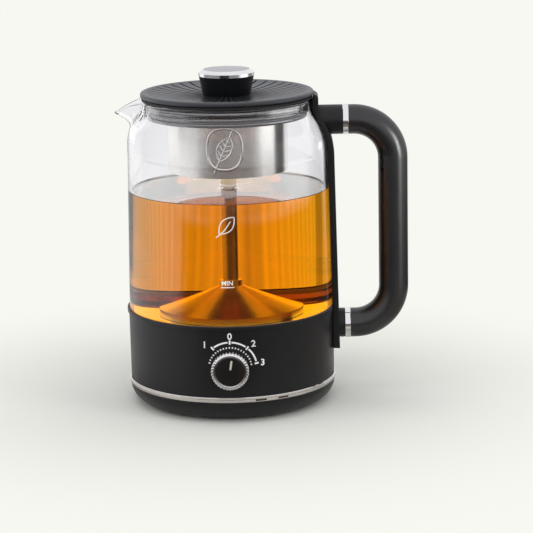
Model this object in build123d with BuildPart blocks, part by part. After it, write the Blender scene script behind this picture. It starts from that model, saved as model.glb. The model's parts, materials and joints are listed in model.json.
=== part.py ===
from build123d import *
import math
import os

# Glass tea maker that brews by steam: a kettle body with a glass jug, a dial and a C-shaped
# handle, standing on a separate power base. A basket with a strainer, a riser tube and a bell
# hangs in the jug from its neck, and a ribbed lid closes it.
#
# Frame, in millimetres: Z is the body's axis and z = 0 the surface the feet stand on.
# The handle is on +X, the spout on -X, and the dial on -Y.

os.makedirs("parts", exist_ok=True)

# ---------------------------------------------------------------- driving sizes
# clearances
slip = 0.05  # radial gap of a pin or screw in its hole
fit_gap = 0.1  # gap between fixed neighbours with curved faces
free_gap = 0.4  # gap between bodies that move apart
weld = 0.5  # overlap that joins two features of one piece
hole_spare = 1.0  # depth of a screw hole past its screw
edge_break = 0.3  # small bevel on an exposed edge

# power base
foot_height = 1.5
foot_radius = 6.0
foot_inset = 20.0  # of the circle of feet from the base's edge
foot_count = 4
body_radius = 65.0  # of the base and the housing
base_height = 12.0
base_round = 11.5
base_wall = 2.2
base_floor = 2.6
plate_thickness = 2.0
plate_recess = 0.3
base_screw_inset = 31.0
base_screw_count = 3
base_boss_radius = 3.2

# cord inlet at the back of the base
inlet_rise = 6.1
inlet_bore = 2.4
inlet_body = 3.3
inlet_flange = 4.6
inlet_flange_thickness = 1.4
inlet_depth = 7.0

# plug-in tower in the middle of the base, and its contacts
tower_radius = 13.0
tower_height = 9.5
tower_flange = 17.0
tower_flange_thickness = 1.6
tower_bore = 4.5
tower_bevel = 1.0
slot_inner = 7.2
slot_outer = 10.0
slot_depth = 7.5
contact_wall = 0.9
contact_height = 6.0

# chrome trim ring with two lamp windows
trim_proud = 0.5
trim_height = 3.2
trim_wall = 3.4
trim_lip_width = 2.1
trim_lip_thickness = 0.6
trim_band_height = 2.1
trim_groove_depth = 0.5
trim_bead_inset = 0.2
window_width = 7.0
window_height = 1.1
window_z_above_rim = 0.7
window_angles = (16.5, 29.5)  # degrees from the front towards the handle
lens_setback = 0.15

# housing around the electrics
housing_draft = 0.3  # taper of the side towards its lower edge
housing_height = 44.8
housing_wall = 2.4
groove_height = 0.9
groove_depth = 0.8
collar_proud = 0.9
collar_height = 2.8
collar_wall = 1.15
ledge_thickness = 2.4
ledge_width = 3.2
ledge_haunch = 1.5  # height of the ledge's sloping underside over its width
collar_bevel = 0.5

# bottom cover and its screws
cover_gap = 0.6
cover_screw_inset = 7.1  # from the housing's inside
cover_screw_count = 4
cover_boss_radius = 3.4
cover_boss_height = 15.0
cover_boss_web = 2.0

# screws, all pan heads
small_screw = 1.45
small_head = 2.6
small_head_height = 1.4
small_screw_length = 8.0
large_screw = 1.9
large_head = 3.4
large_head_height = 2.0
recess_span = 1.1  # cross recess, as a share of the head's radius
recess_width = 0.25

# glass jug
glass_wall = 2.0
jug_gap = 0.15  # between the collar and the jug
jug_height = 133.0
jug_taper = 1.7
neck_height = 9.7
shoulder_height = 24.8
shoulder_step = 9.6
spout_length = 16.8
spout_droop = 7.1
spout_half_width = 18.0
spout_tip_half_width = 1.9
spout_tip_depth = 1.0
spout_slope = 0.62
spout_bury = 3.3  # how far inside the neck the spout's shape starts
spout_stations = 5
spout_curve = 1.6  # how late the spout's rim droops
spout_tip_wall = 1.0

# heating plate under the jug
gasket_thickness = 0.8
gasket_lip_height = 1.6
gasket_lip_width = 0.9
gasket_lip_taper = 0.2
pan_flange_inset = 1.2
pan_thickness = 0.8
pan_depth = 2.9
pan_clearance = 0.7
pan_slope = 1.0
spreader_inset = 8.65
spreader_thickness = 4.5
heater_inset = 14.0
heater_tube_radius = 3.5
heater_sink = 0.5
heater_gap_angle = 40.0
heater_leg = 9.0
heater_pin = 1.2
heater_pin_length = 5.0
thermostat_radius = 8.5
thermostat_height = 6.0
thermostat_neck = 7.2
thermostat_tab_width = 3.0
thermostat_tab_thickness = 0.8
thermostat_tab_length = 3.6
fuse_radius = 2.0
fuse_length = 14.0
fuse_offset = 20.0
fuse_clip = 1.2
saddle_length = 7.0
saddle_width = 6.0

# socket in the kettle's bottom that drops over the tower
socket_clearance = 0.6
socket_wall = 2.9
socket_top = 3.0
socket_flange = 20.0
socket_flange_thickness = 2.0
pin_radius = 1.8
blade_inner = 7.9
blade_outer = 8.6
contact_reach = 5.5

# control board
board_length = 32.0
board_width = 36.0
board_thickness = 1.6
board_inner_x = 22.0
board_standoff = 6.0
standoff_radius = 2.6
standoff_inset = 4.0
relay_length = 16.0
relay_width = 13.0
relay_height = 14.0
relay_x = 45.0
relay_round = 0.8
capacitor_radius = 3.0
capacitor_height = 11.0
chip_size = 6.0
chip_height = 1.6
wire_radius = 1.1
wire_bend = 4.5
lead_spread = 8.0

# lamp board behind the windows
lamp_board_length = 30.0
lamp_board_width = 7.0
lamp_board_thickness = 1.2
lamp_board_shift = 0.5
lamp_post_radius = 1.8
lamp_radius = 1.4
lamp_height = 2.0
lamp_setback = 10.3
pipe_width = 6.8
pipe_height = 3.4
pipe_depth = 2.4

# rotary switch and dial
dial_rise = 18.5  # of the dial's axis above the housing's lower edge
switch_size = 24.0
switch_depth = 14.0
switch_round = 2.0
switch_gap = 3.6  # between the switch's face and the housing's inside
switch_pad_radius = 9.5
bush_radius = 5.0
bush_length = 7.9
nut_circle = 6.6
nut_thickness = 1.9
nut_seat_depth = 0.7
shaft_radius = 3.0
shaft_flat = 0.7
shaft_inside = 8.0
dial_gap = 0.6
dial_depth = 7.4
dial_core_radius = 9.05
dial_edge_round = 0.5
dial_cavity_radius = 7.6
dial_cavity_depth = 3.2
dial_ring_radius = 11.2
dial_ring_bevel = 1.5
dial_ring_setback = 0.4
tooth_radius = 0.55
tooth_count = 36
pointer_length = 5.9
pointer_width = 1.2
pointer_start = 1.3
pointer_depth = 0.6
pointer_proud = 0.15
pointer_angle = 9.0  # degrees clockwise from straight up, seen from the front

# handle bracket that follows the jug's side
bracket_rise = 13.3
bracket_lug_rise = 1.3  # above the lid's underside
bracket_round = 2.8  # of the lug's outer upper edge
bracket_thickness = 3.4
bracket_angle = 19.0
pad_thickness = 0.8
pad_angle = 16.0
pad_low_gap = 0.6
lug_gap = 0.3
arm_radius = 9.25
arm_drop = 14.5  # of the upper arm below the jug's rim
arm_rise = 30.7  # of the lower arm above the housing's lower edge
bracket_screw_rise = 4.0
bracket_screw_spread = 6.0
bracket_screw_length = 4.6
head_standoff = 0.7  # of the flat heads from the housing's curved inside
screw_seat_gap = 0.6  # of the upper handle screw's seat outside the jug's shoulder

# handle
ring_offset = 6.0  # from the collar to the chrome rings
ring_width = 3.6
ring_proud = 0.25
spigot_radius = 6.4
spigot_length = 3.0
grip_reach = 31.3  # from the rings to the middle of the grip
grip_bend = 24.5
grip_wall = 2.5
grip_boss_length = 7.5
handle_screw_bite = 6.0

# strainer basket
basket_wall = 0.7
basket_radius = 37.6
basket_depth = 32.7
drain_radius = 0.8
drain_pitch = 5.0
drain_ring_count = 5
drain_sector_count = 8  # holes that each ring has more than the one inside it
seat_depth = 11.7
seat_wall = 3.4
seat_floor = 1.2
seat_low_inset = 1.4
seat_low_height = 3.2
seat_mid_inset = 0.4
seat_mid_height = 2.5
seat_groove_inset = 1.0
seat_groove_height = 1.2
seal_thickness = 1.4
seat_gap = 0.3

# riser tube with its nuts, spray cap and bell
riser_radius = 3.7
riser_bore = 2.7
riser_foot = 4.5  # of the riser below the top of the bell's cone
riser_rise = 31.9  # of the riser above the strainer's floor
riser_disc_radius = 8.3
riser_disc_gap = 3.5
riser_disc_thickness = 1.0
nut_radius = 4.9
nut_length = 10.3
nut_flange_radius = 5.4
nut_flange_thickness = 1.0
top_nut_length = 3.0
spray_stem_radius = 5.2
spray_stem_length = 12.0
spray_head_radius = 10.0
spray_head_thickness = 2.0
spray_head_rise = 4.2
spray_head_edge = 0.8
spray_head_top = 6.0
spray_hole_radius = 0.9
spray_hole_rise = 1.7
spray_hole_count = 8
bell_gap = 0.3
bell_radius = 34.0
bell_skirt = 4.3
bell_cone_height = 16.1
bell_wall = 0.8
bell_collar_radius = 5.5
bell_collar_height = 3.5
bell_notch_width = 5.0
bell_notch_height = 1.6
bell_notch_angles = (30.0, 90.0, 150.0)  # on the half away from the dial

# lid
lid_overhang = 0.7
lid_edge_height = 3.5
lid_edge_round = 0.9
lid_rim_width = 1.6
lid_dish_inset = 8.0
lid_dish_foot = 1.5
lid_dish_rise = 0.6
lid_floor = 1.3
rib_count = 72
rib_width = 0.7
rib_height = 0.45
rib_start = 15.6
rib_inset = 0.5
plug_depth = 5.5
plug_wall = 1.6
plug_floor = 1.5
plug_side_gap = 0.9
plug_bevel = 0.5
lid_seal_height = 2.0
lid_seal_groove = 0.8
lid_seal_crown = 0.8
lid_screw_inset = 24.0
lid_screw_count = 3
lid_boss_radius = 3.0
lid_head_height = 1.0

# lid knob
knob_low_radius = 15.0
knob_top_radius = 17.2
knob_height = 11.5
knob_wall = 2.0
knob_boss_radius = 4.2
knob_ring_radius = 17.4
knob_ring_height = 2.2
knob_ring_slope = 1.9
knob_ring_inner = 11.5
knob_ring_land = 0.3
cap_radius = 14.2
cap_thickness = 1.0
cap_dome = 0.4
knob_screw_bite = 7.0

# ---------------------------------------------------------------- sizes that follow
# heights
base_low_z = foot_height
base_rim_z = base_low_z + base_height
inlet_z = base_low_z + inlet_rise
plate_top_z = base_rim_z - plate_recess
plate_low_z = plate_top_z - plate_thickness
base_inside_z = base_low_z + base_floor
tower_top_z = plate_top_z + tower_height
slot_floor_z = tower_top_z - slot_depth

housing_low_z = base_rim_z + trim_height
housing_top_z = housing_low_z + housing_height
collar_low_z = housing_top_z - collar_height
cover_low_z = base_rim_z + cover_gap
cover_top_z = housing_low_z - trim_lip_thickness
dial_z = housing_low_z + dial_rise
ledge_z = collar_low_z - pan_thickness
pan_top_z = collar_low_z - pan_depth
pan_low_z = pan_top_z - pan_thickness
spreader_low_z = pan_low_z - spreader_thickness
heater_z = spreader_low_z - heater_sink
heater_pin_z = heater_z - heater_leg - heater_pin_length

jug_foot_z = collar_low_z + gasket_thickness
rim_z = jug_foot_z + jug_height
neck_z = rim_z - neck_height
shoulder_z = neck_z - shoulder_height
seat_low_z = rim_z - seat_depth
seat_top_z = rim_z - seal_thickness - free_gap
basket_flange_z = seat_low_z + seat_floor
basket_floor_z = seat_low_z - basket_depth
lid_low_z = rim_z + seal_thickness
lid_floor_z = lid_low_z + lid_floor
lid_rim_z = lid_low_z + lid_edge_height
knob_top_z = lid_floor_z + knob_height
ring_top_z = knob_top_z + knob_ring_height + knob_ring_slope

arm_top_z = rim_z - arm_drop
arm_low_z = housing_low_z + arm_rise
bracket_low_z = housing_low_z + bracket_rise
bracket_top_z = lid_low_z + bracket_lug_rise
bracket_screw_z = bracket_low_z + bracket_screw_rise

# radii, from the outside in
base_radius = body_radius
foot_circle = base_radius - foot_inset
base_screw_circle = base_radius - base_screw_inset
trim_radius = base_radius + trim_proud
cover_radius = trim_radius - trim_wall - fit_gap
lamp_circle = trim_radius - lamp_setback
housing_radius = body_radius
housing_low_radius = housing_radius - housing_draft
housing_inner = housing_radius - housing_wall
cover_screw_circle = housing_inner - cover_screw_inset
collar_radius = housing_radius + collar_proud
pan_flange_radius = collar_radius - collar_wall - pan_flange_inset
ledge_inner = pan_flange_radius - ledge_width
pan_radius = ledge_inner - pan_clearance - pan_slope
spreader_radius = pan_radius - spreader_inset
heater_circle = spreader_radius - heater_inset

jug_foot_radius = collar_radius - collar_wall - jug_gap
shoulder_radius = jug_foot_radius - jug_taper
neck_radius = shoulder_radius - shoulder_step
spout_root = neck_radius - spout_bury
spout_reach = neck_radius + spout_length
seat_top_radius = neck_radius - glass_wall - free_gap
seat_low_radius = seat_top_radius - seat_low_inset
seat_mid_radius = seat_top_radius - seat_mid_inset
seat_groove_radius = seat_top_radius - seat_groove_inset
seat_inner = seat_top_radius - seat_wall
basket_flange = seat_inner - seat_gap
lid_radius = neck_radius + lid_overhang
lid_dish_radius = lid_radius - lid_dish_inset
lid_screw_circle = lid_radius - lid_screw_inset
rib_end = lid_dish_radius - rib_inset

# distances from the axis towards the dial and the handle
switch_face = housing_inner - switch_gap
nut_seat = housing_radius - nut_seat_depth
dial_back = housing_radius + dial_gap
dial_face = dial_back + dial_depth
ring_start = collar_radius + ring_offset
grip_x = ring_start + grip_reach


# ---------------------------------------------------------------- shared shapes
def half_section(*corners):
    """Face in the XZ plane through (radius, height) corners, for a turned part."""
    with BuildSketch(Plane.XZ) as section:
        with BuildLine():
            Polyline(*corners, close=True)
        make_face()
    return section.sketch


def side_plane(angle):
    """Upright plane through Z, turned by angle degrees from +X: x is the radius, y the height."""
    turn = math.radians(angle)
    return Plane(
        origin=(0, 0, 0),
        x_dir=(math.cos(turn), math.sin(turn), 0),
        z_dir=(math.sin(turn), -math.cos(turn), 0),
    )


# The jug's side is a straight wall leaning in a little, an arc for the shoulder that leaves
# the wall smoothly, and an upright neck. Moved out or in by an outset, it also gives the
# jug's inside, the bracket and its pad.
wall_lean = math.atan((jug_foot_radius - shoulder_radius) / (shoulder_z - jug_foot_z))
wall_normal = Vector(math.cos(wall_lean), math.sin(wall_lean), 0)
shoulder_start = Vector(shoulder_radius, shoulder_z, 0)
shoulder_chord = shoulder_start - Vector(neck_radius, neck_z, 0)
shoulder_arc = shoulder_chord.dot(shoulder_chord) / (2 * shoulder_chord.dot(wall_normal))
arc_centre = shoulder_start - wall_normal * shoulder_arc


def wall_radius(height, outset):
    """Radius of the jug's straight wall at a height, moved out by outset."""
    lean_in = (height - jug_foot_z) * math.tan(wall_lean)
    return jug_foot_radius - lean_in + outset / math.cos(wall_lean)


def shoulder_point(outset, share):
    """Point on the shoulder's arc, from its start (share 0) to the neck (share 1)."""
    arc = shoulder_arc + outset
    end_turn = math.acos((neck_radius + outset - arc_centre.X) / arc)
    turn = wall_lean + share * (end_turn - wall_lean)
    return (arc_centre.X + arc * math.cos(turn), arc_centre.Y + arc * math.sin(turn))


def jug_shape(outset, low_z, high_z, plane=Plane.XZ):
    """Section of the whole jug, filled to its axis, with its side moved out by outset."""
    with BuildSketch(plane) as section:
        with BuildLine():
            Polyline((0, high_z), (0, low_z), (wall_radius(low_z, outset), low_z))
            Line((wall_radius(low_z, outset), low_z), shoulder_point(outset, 0))
            ThreePointArc(
                shoulder_point(outset, 0), shoulder_point(outset, 0.5), shoulder_point(outset, 1)
            )
            Polyline(shoulder_point(outset, 1), (neck_radius + outset, high_z), (0, high_z))
        make_face()
    return section.sketch


def screw(x, y, z, shank, head, head_height, length, plane_z):
    """Pan-head screw standing on its head's seat at (x, y, z), its shank along plane_z."""
    seat = Plane(origin=(x, y, z), z_dir=plane_z)
    with BuildPart() as piece:
        with BuildSketch(seat):
            Circle(head)
        extrude(amount=-head_height)
        with BuildSketch(seat):
            Circle(shank)
        extrude(amount=length)
        with BuildSketch(seat.offset(-head_height)):
            Rectangle(head * recess_span, head * recess_width)
            Rectangle(head * recess_width, head * recess_span)
        extrude(amount=head_height / 2, mode=Mode.SUBTRACT)
    return piece.part


def wire(*points):
    """Round wire through points, its corners rounded."""
    with BuildPart() as piece:
        with BuildLine() as route:
            FilletPolyline(*points, radius=wire_bend)
        with BuildSketch(Plane(origin=points[0], z_dir=Vector(*points[1]) - Vector(*points[0]))):
            Circle(wire_radius)
        sweep(path=route.line)
    return piece.part


# ---------------------------------------------------------------- power base
flat_end = base_radius - base_round
round_top = base_low_z + base_round
inner_round = base_round - base_wall
inner_top = base_inside_z + inner_round
inlet_seat = flat_end + math.sqrt(base_round**2 - (round_top - inlet_z) ** 2)
plate_radius = flat_end + math.sqrt(inner_round**2 - (inner_top - plate_low_z) ** 2) - fit_gap

with BuildPart() as base_shell:
    with BuildSketch(Plane.XZ):
        with BuildLine():
            Polyline((0, base_inside_z), (0, base_low_z), (flat_end, base_low_z))
            RadiusArc((flat_end, base_low_z), (base_radius, round_top), -base_round)
            Polyline(
                (base_radius, round_top),
                (base_radius, base_rim_z),
                (base_radius - base_wall, base_rim_z),
                (base_radius - base_wall, inner_top),
            )
            RadiusArc((base_radius - base_wall, inner_top), (flat_end, base_inside_z), inner_round)
            Line((flat_end, base_inside_z), (0, base_inside_z))
        make_face()
    revolve(axis=Axis.Z)
    # screw holes with seats for the heads
    with Locations(Plane(origin=(0, 0, base_low_z), z_dir=(0, 0, -1))):
        with PolarLocations(base_screw_circle, base_screw_count, start_angle=90):
            CounterBoreHole(small_screw + fit_gap, small_head + fit_gap, small_head_height + fit_gap)
    # cord inlet through the back wall, with a flat seat for the gland's flange
    with BuildSketch(Plane.XZ.offset(-flat_end)):
        with Locations((0, inlet_z)):
            Circle(inlet_body + fit_gap)
    extrude(amount=-base_round, mode=Mode.SUBTRACT)
    with BuildSketch(Plane.XZ.offset(-inlet_seat)):
        with Locations((0, inlet_z)):
            Circle(inlet_flange + fit_gap)
    extrude(amount=-base_round, mode=Mode.SUBTRACT)
base_shell.part.label = "base_shell"
export_step(base_shell.part, "parts/base_shell.step")

with BuildPart() as base_plate:
    with BuildSketch(Plane.XY.offset(plate_low_z)):
        Circle(plate_radius)
        Circle(tower_radius + fit_gap, mode=Mode.SUBTRACT)
    extrude(amount=plate_thickness)
    with BuildSketch(Plane.XY.offset(base_inside_z)):
        with PolarLocations(base_screw_circle, base_screw_count, start_angle=90):
            Circle(base_boss_radius)
    extrude(amount=plate_low_z - base_inside_z)
    with BuildSketch(Plane.XY.offset(base_inside_z)):
        with PolarLocations(base_screw_circle, base_screw_count, start_angle=90):
            Circle(small_screw + slip)
    extrude(amount=plate_top_z - base_inside_z - plate_thickness / 2, mode=Mode.SUBTRACT)
base_plate.part.label = "base_plate"
export_step(base_plate.part, "parts/base_plate.step")

with BuildPart() as base_feet:
    with BuildSketch(Plane.XY):
        with PolarLocations(foot_circle, foot_count, start_angle=45):
            Circle(foot_radius)
    extrude(amount=foot_height)
base_feet.part.label = "base_feet"
export_step(base_feet.part, "parts/base_feet.step")

with BuildPart() as base_tower:
    with BuildSketch(Plane.XY.offset(plate_low_z - tower_flange_thickness)):
        Circle(tower_flange)
    extrude(amount=tower_flange_thickness)
    with BuildSketch(Plane.XY.offset(plate_low_z)):
        Circle(tower_radius)
    extrude(amount=tower_top_z - plate_low_z)
    chamfer(base_tower.faces().sort_by(Axis.Z)[-1].edges(), tower_bevel)
    with BuildSketch(Plane.XY.offset(slot_floor_z)):
        Circle(slot_outer)
        Circle(slot_inner, mode=Mode.SUBTRACT)
        Circle(tower_bore)
    extrude(amount=slot_depth, mode=Mode.SUBTRACT)
base_tower.part.label = "base_tower"
export_step(base_tower.part, "parts/base_tower.step")

with BuildPart() as base_contacts:
    with BuildSketch(Plane.XY.offset(slot_floor_z)):
        Circle(slot_outer - fit_gap)
        Circle(slot_outer - fit_gap - contact_wall, mode=Mode.SUBTRACT)
    extrude(amount=contact_height)
    with BuildSketch(Plane.XY.offset(slot_floor_z)):
        Circle(tower_bore - fit_gap)
        Circle(tower_bore - fit_gap - contact_wall, mode=Mode.SUBTRACT)
    extrude(amount=contact_height)
base_contacts.part.label = "base_contacts"
export_step(base_contacts.part, "parts/base_contacts.step")

with BuildPart() as base_screws:
    for place in PolarLocations(base_screw_circle, base_screw_count, start_angle=90):
        seat = place.position
        add(
            screw(
                seat.X,
                seat.Y,
                base_low_z + small_head_height + fit_gap,
                small_screw,
                small_head,
                small_head_height,
                small_screw_length,
                (0, 0, 1),
            )
        )
base_screws.part.label = "base_screws"
export_step(base_screws.part, "parts/base_screws.step")

with BuildPart() as cord_gland:
    with BuildSketch(Plane.XZ.offset(-inlet_seat)):
        with Locations((0, inlet_z)):
            Circle(inlet_flange)
    extrude(amount=-inlet_flange_thickness)
    with BuildSketch(Plane.XZ.offset(-inlet_seat)):
        with Locations((0, inlet_z)):
            Circle(inlet_body)
    extrude(amount=inlet_depth)
    with BuildSketch(Plane.XZ.offset(-inlet_seat - inlet_flange_thickness)):
        with Locations((0, inlet_z)):
            Circle(inlet_bore)
    extrude(amount=inlet_depth + inlet_flange_thickness, mode=Mode.SUBTRACT)
cord_gland.part.label = "cord_gland"
export_step(cord_gland.part, "parts/cord_gland.step")

# ---------------------------------------------------------------- trim ring and its lamps
window_low_z = base_rim_z + window_z_above_rim
window_planes = [side_plane(angle - 90) for angle in window_angles]

with BuildPart() as trim_ring:
    band_top_z = base_rim_z + trim_band_height
    bead_radius = trim_radius - trim_bead_inset
    revolve(
        half_section(
            (trim_radius - trim_wall, base_rim_z),
            (trim_radius - edge_break, base_rim_z),
            (trim_radius, base_rim_z + edge_break),
            (trim_radius, band_top_z - edge_break),
            (trim_radius - trim_groove_depth, band_top_z),
            (bead_radius, band_top_z + edge_break),
            (bead_radius, housing_low_z - edge_break),
            (bead_radius - edge_break, housing_low_z),
            (trim_radius - trim_wall - trim_lip_width, housing_low_z),
            (trim_radius - trim_wall - trim_lip_width, cover_top_z),
            (trim_radius - trim_wall, cover_top_z),
        ),
        axis=Axis.Z,
    )
    for plane in window_planes:
        with BuildSketch(Plane(origin=(0, 0, window_low_z), x_dir=plane.x_dir, z_dir=(0, 0, 1))):
            with Locations((trim_radius, 0)):
                Rectangle(4 * trim_wall, window_width)
        extrude(amount=window_height, mode=Mode.SUBTRACT)
trim_ring.part.label = "trim_ring"
export_step(trim_ring.part, "parts/trim_ring.step")

with BuildPart() as lamp_lenses:
    for plane in window_planes:
        lens_low = Plane(
            origin=(0, 0, window_low_z + slip), x_dir=plane.x_dir, z_dir=(0, 0, 1)
        )
        lens_end = trim_radius - lens_setback
        with BuildSketch(lens_low):
            with Locations(((lamp_circle - pipe_depth / 2 + lens_end) / 2, 0)):
                Rectangle(lens_end - lamp_circle + pipe_depth / 2, pipe_width)
        extrude(amount=window_height - 2 * slip)
        with BuildSketch(lens_low):
            with Locations((lamp_circle, 0)):
                Rectangle(pipe_depth, pipe_width)
        extrude(amount=pipe_height)
lamp_lenses.part.label = "lamp_lenses"
export_step(lamp_lenses.part, "parts/lamp_lenses.step")

# ---------------------------------------------------------------- bottom cover
window_middle = sum(window_angles) / len(window_angles) - 90
lamp_board_z = window_low_z + slip + pipe_height + lamp_height + fit_gap
lamp_board_plane = Plane(
    origin=(0, 0, lamp_board_z), x_dir=side_plane(window_middle).x_dir, z_dir=(0, 0, 1)
)
lamp_post_spread = lamp_board_length / 2 - standoff_radius
lamp_board_centre = lamp_circle - lamp_board_shift
board_centre_x = -board_inner_x - board_length / 2
board_z = cover_top_z + board_standoff
standoff_pitch_x = board_length - 2 * standoff_inset
standoff_pitch_y = board_width - 2 * standoff_inset
socket_radius = tower_radius + socket_clearance + socket_wall

with BuildPart() as bottom_cover:
    with BuildSketch(Plane.XY.offset(cover_low_z)):
        Circle(cover_radius)
        Circle(socket_radius + fit_gap, mode=Mode.SUBTRACT)
    extrude(amount=cover_top_z - cover_low_z)
    with Locations(Plane(origin=(0, 0, cover_low_z), z_dir=(0, 0, -1))):
        with PolarLocations(cover_screw_circle, cover_screw_count, start_angle=45):
            CounterBoreHole(small_screw + fit_gap, small_head + fit_gap, small_head_height + fit_gap)
    # posts for the control board and the lamp board
    with BuildSketch(Plane.XY.offset(cover_top_z)):
        with Locations((board_centre_x, 0)):
            with GridLocations(standoff_pitch_x, standoff_pitch_y, 2, 2):
                Circle(standoff_radius)
    extrude(amount=board_standoff)
    with BuildSketch(lamp_board_plane.offset(cover_top_z - lamp_board_z)):
        with Locations((lamp_board_centre, 0)):
            with GridLocations(0, 2 * lamp_post_spread, 1, 2):
                Circle(lamp_post_radius)
    extrude(amount=lamp_board_z - cover_top_z)
    # slots for the light pipes
    for plane in window_planes:
        with BuildSketch(Plane(origin=(0, 0, cover_low_z), x_dir=plane.x_dir, z_dir=(0, 0, 1))):
            with Locations((cover_radius, 0)):
                Rectangle(2 * (cover_radius - lamp_circle + pipe_depth), window_width)
        extrude(amount=cover_top_z - cover_low_z, mode=Mode.SUBTRACT)
bottom_cover.part.label = "bottom_cover"
export_step(bottom_cover.part, "parts/bottom_cover.step")

with BuildPart() as cover_screws:
    for place in PolarLocations(cover_screw_circle, cover_screw_count, start_angle=45):
        seat = place.position
        add(
            screw(
                seat.X,
                seat.Y,
                cover_low_z + small_head_height + fit_gap,
                small_screw,
                small_head,
                small_head_height,
                small_screw_length,
                (0, 0, 1),
            )
        )
cover_screws.part.label = "cover_screws"
export_step(cover_screws.part, "parts/cover_screws.step")

with BuildPart() as lamp_board:
    with BuildSketch(lamp_board_plane):
        with Locations((lamp_board_centre, 0)):
            Rectangle(lamp_board_width, lamp_board_length)
    extrude(amount=lamp_board_thickness)
    for plane in window_planes:
        with BuildSketch(Plane(origin=(0, 0, lamp_board_z), x_dir=plane.x_dir, z_dir=(0, 0, 1))):
            with Locations((lamp_circle, 0)):
                Circle(lamp_radius)
        extrude(amount=-lamp_height)
lamp_board.part.label = "lamp_board"
export_step(lamp_board.part, "parts/lamp_board.step")

# ---------------------------------------------------------------- housing
with BuildPart() as housing:
    revolve(
        half_section(
            (housing_inner, housing_low_z),
            (housing_low_radius - groove_depth, housing_low_z),
            (housing_low_radius - groove_depth, housing_low_z + groove_height),
            (housing_low_radius, housing_low_z + groove_height),
            (housing_radius, collar_low_z),
            (collar_radius - edge_break, collar_low_z),
            (collar_radius, collar_low_z + edge_break),
            (collar_radius, housing_top_z - collar_bevel),
            (collar_radius - collar_bevel, housing_top_z),
            (collar_radius - collar_wall, housing_top_z),
            (collar_radius - collar_wall, collar_low_z),
            (pan_flange_radius + fit_gap, collar_low_z),
            (pan_flange_radius + fit_gap, ledge_z),
            (ledge_inner, ledge_z),
            (ledge_inner, ledge_z - ledge_thickness),
            (housing_inner, ledge_z - ledge_thickness - (housing_inner - ledge_inner) * ledge_haunch),
        ),
        axis=Axis.Z,
    )
    # bosses for the cover screws, each with a web to the wall
    web_end = housing_inner + weld
    with BuildSketch(Plane.XY.offset(cover_top_z)):
        with PolarLocations(cover_screw_circle, cover_screw_count, start_angle=45):
            Circle(cover_boss_radius)
    extrude(amount=cover_boss_height)
    with BuildSketch(Plane.XY.offset(housing_low_z + groove_height)):
        with PolarLocations((cover_screw_circle + web_end) / 2, cover_screw_count, start_angle=45):
            Rectangle(web_end - cover_screw_circle, cover_boss_web)
    extrude(amount=cover_boss_height - groove_height - trim_lip_thickness)
    with BuildSketch(Plane.XY.offset(cover_top_z)):
        with PolarLocations(cover_screw_circle, cover_screw_count, start_angle=45):
            Circle(small_screw + slip)
    extrude(amount=small_screw_length + hole_spare, mode=Mode.SUBTRACT)
    # flat pad that the switch is clamped to, its bush hole and the nut's flat seat outside
    with BuildSketch(Plane.XZ.offset(switch_face)):
        with Locations((0, dial_z)):
            Circle(switch_pad_radius)
    extrude(amount=housing_inner - switch_face + weld)
    with BuildSketch(Plane.XZ.offset(switch_face)):
        with Locations((0, dial_z)):
            Circle(bush_radius + slip)
    extrude(amount=housing_radius, mode=Mode.SUBTRACT)
    with BuildSketch(Plane.XZ.offset(nut_seat)):
        with Locations((0, dial_z)):
            Circle(nut_circle + free_gap)
    extrude(amount=housing_radius, mode=Mode.SUBTRACT)
    # holes towards the handle: the lower handle screw and the two bracket screws
    with BuildSketch(Plane.YZ.offset(spreader_radius)):
        with Locations((0, arm_low_z)):
            Circle(large_screw + fit_gap)
        with Locations((bracket_screw_spread, bracket_screw_z), (-bracket_screw_spread, bracket_screw_z)):
            Circle(small_screw + fit_gap)
    extrude(amount=housing_radius, mode=Mode.SUBTRACT)
housing.part.label = "housing"
export_step(housing.part, "parts/housing.step")

# ---------------------------------------------------------------- glass jug
def spout_section(share, wall, root, lift):
    """Half ellipse across the spout, a share of the way from root to its tip, one wall inside."""
    reach = root + share * (spout_reach - root)
    top_z = rim_z - spout_droop * share**spout_curve + lift
    low_z = rim_z - spout_droop - spout_tip_depth - spout_slope * (spout_reach - reach) + wall
    half_width = spout_half_width - share * (spout_half_width - spout_tip_half_width) - wall
    with BuildSketch(Plane.YZ.offset(-reach)) as section:
        with BuildLine():
            EllipticalCenterArc((0, top_z), half_width, top_z - low_z, start_angle=180, arc_size=180)
            Line((half_width, top_z), (-half_width, top_z))
        make_face()
    return section.sketch


spout_shares = [station / (spout_stations - 1) for station in range(spout_stations)]
channel_root = spout_root - 2 * glass_wall
with BuildPart() as glass_jug:
    revolve(jug_shape(0, jug_foot_z, rim_z), axis=Axis.Z)
    loft([spout_section(share, 0, spout_root, 0) for share in spout_shares])
    revolve(jug_shape(-glass_wall, jug_foot_z, rim_z), axis=Axis.Z, mode=Mode.SUBTRACT)
    # pouring channel, one wall thickness inside the spout and open at the top
    channel_walls = [glass_wall - share * (glass_wall - spout_tip_wall) for share in spout_shares]
    channel = [
        spout_section(share, wall, channel_root, glass_wall)
        for share, wall in zip(spout_shares, channel_walls)
    ]
    loft(channel, mode=Mode.SUBTRACT)
glass_jug.part.label = "glass_jug"
export_step(glass_jug.part, "parts/glass_jug.step")

glass_inner = wall_radius(jug_foot_z, -glass_wall)
with BuildPart() as jug_gasket:
    lip_outer = glass_inner - fit_gap
    revolve(
        half_section(
            (lip_outer - gasket_lip_width, collar_low_z),
            (wall_radius(jug_foot_z, 0), collar_low_z),
            (wall_radius(jug_foot_z, 0), jug_foot_z),
            (lip_outer, jug_foot_z),
            (lip_outer - gasket_lip_taper, jug_foot_z + gasket_lip_height),
            (lip_outer - gasket_lip_width, jug_foot_z + gasket_lip_height),
        ),
        axis=Axis.Z,
    )
jug_gasket.part.label = "jug_gasket"
export_step(jug_gasket.part, "parts/jug_gasket.step")

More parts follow.
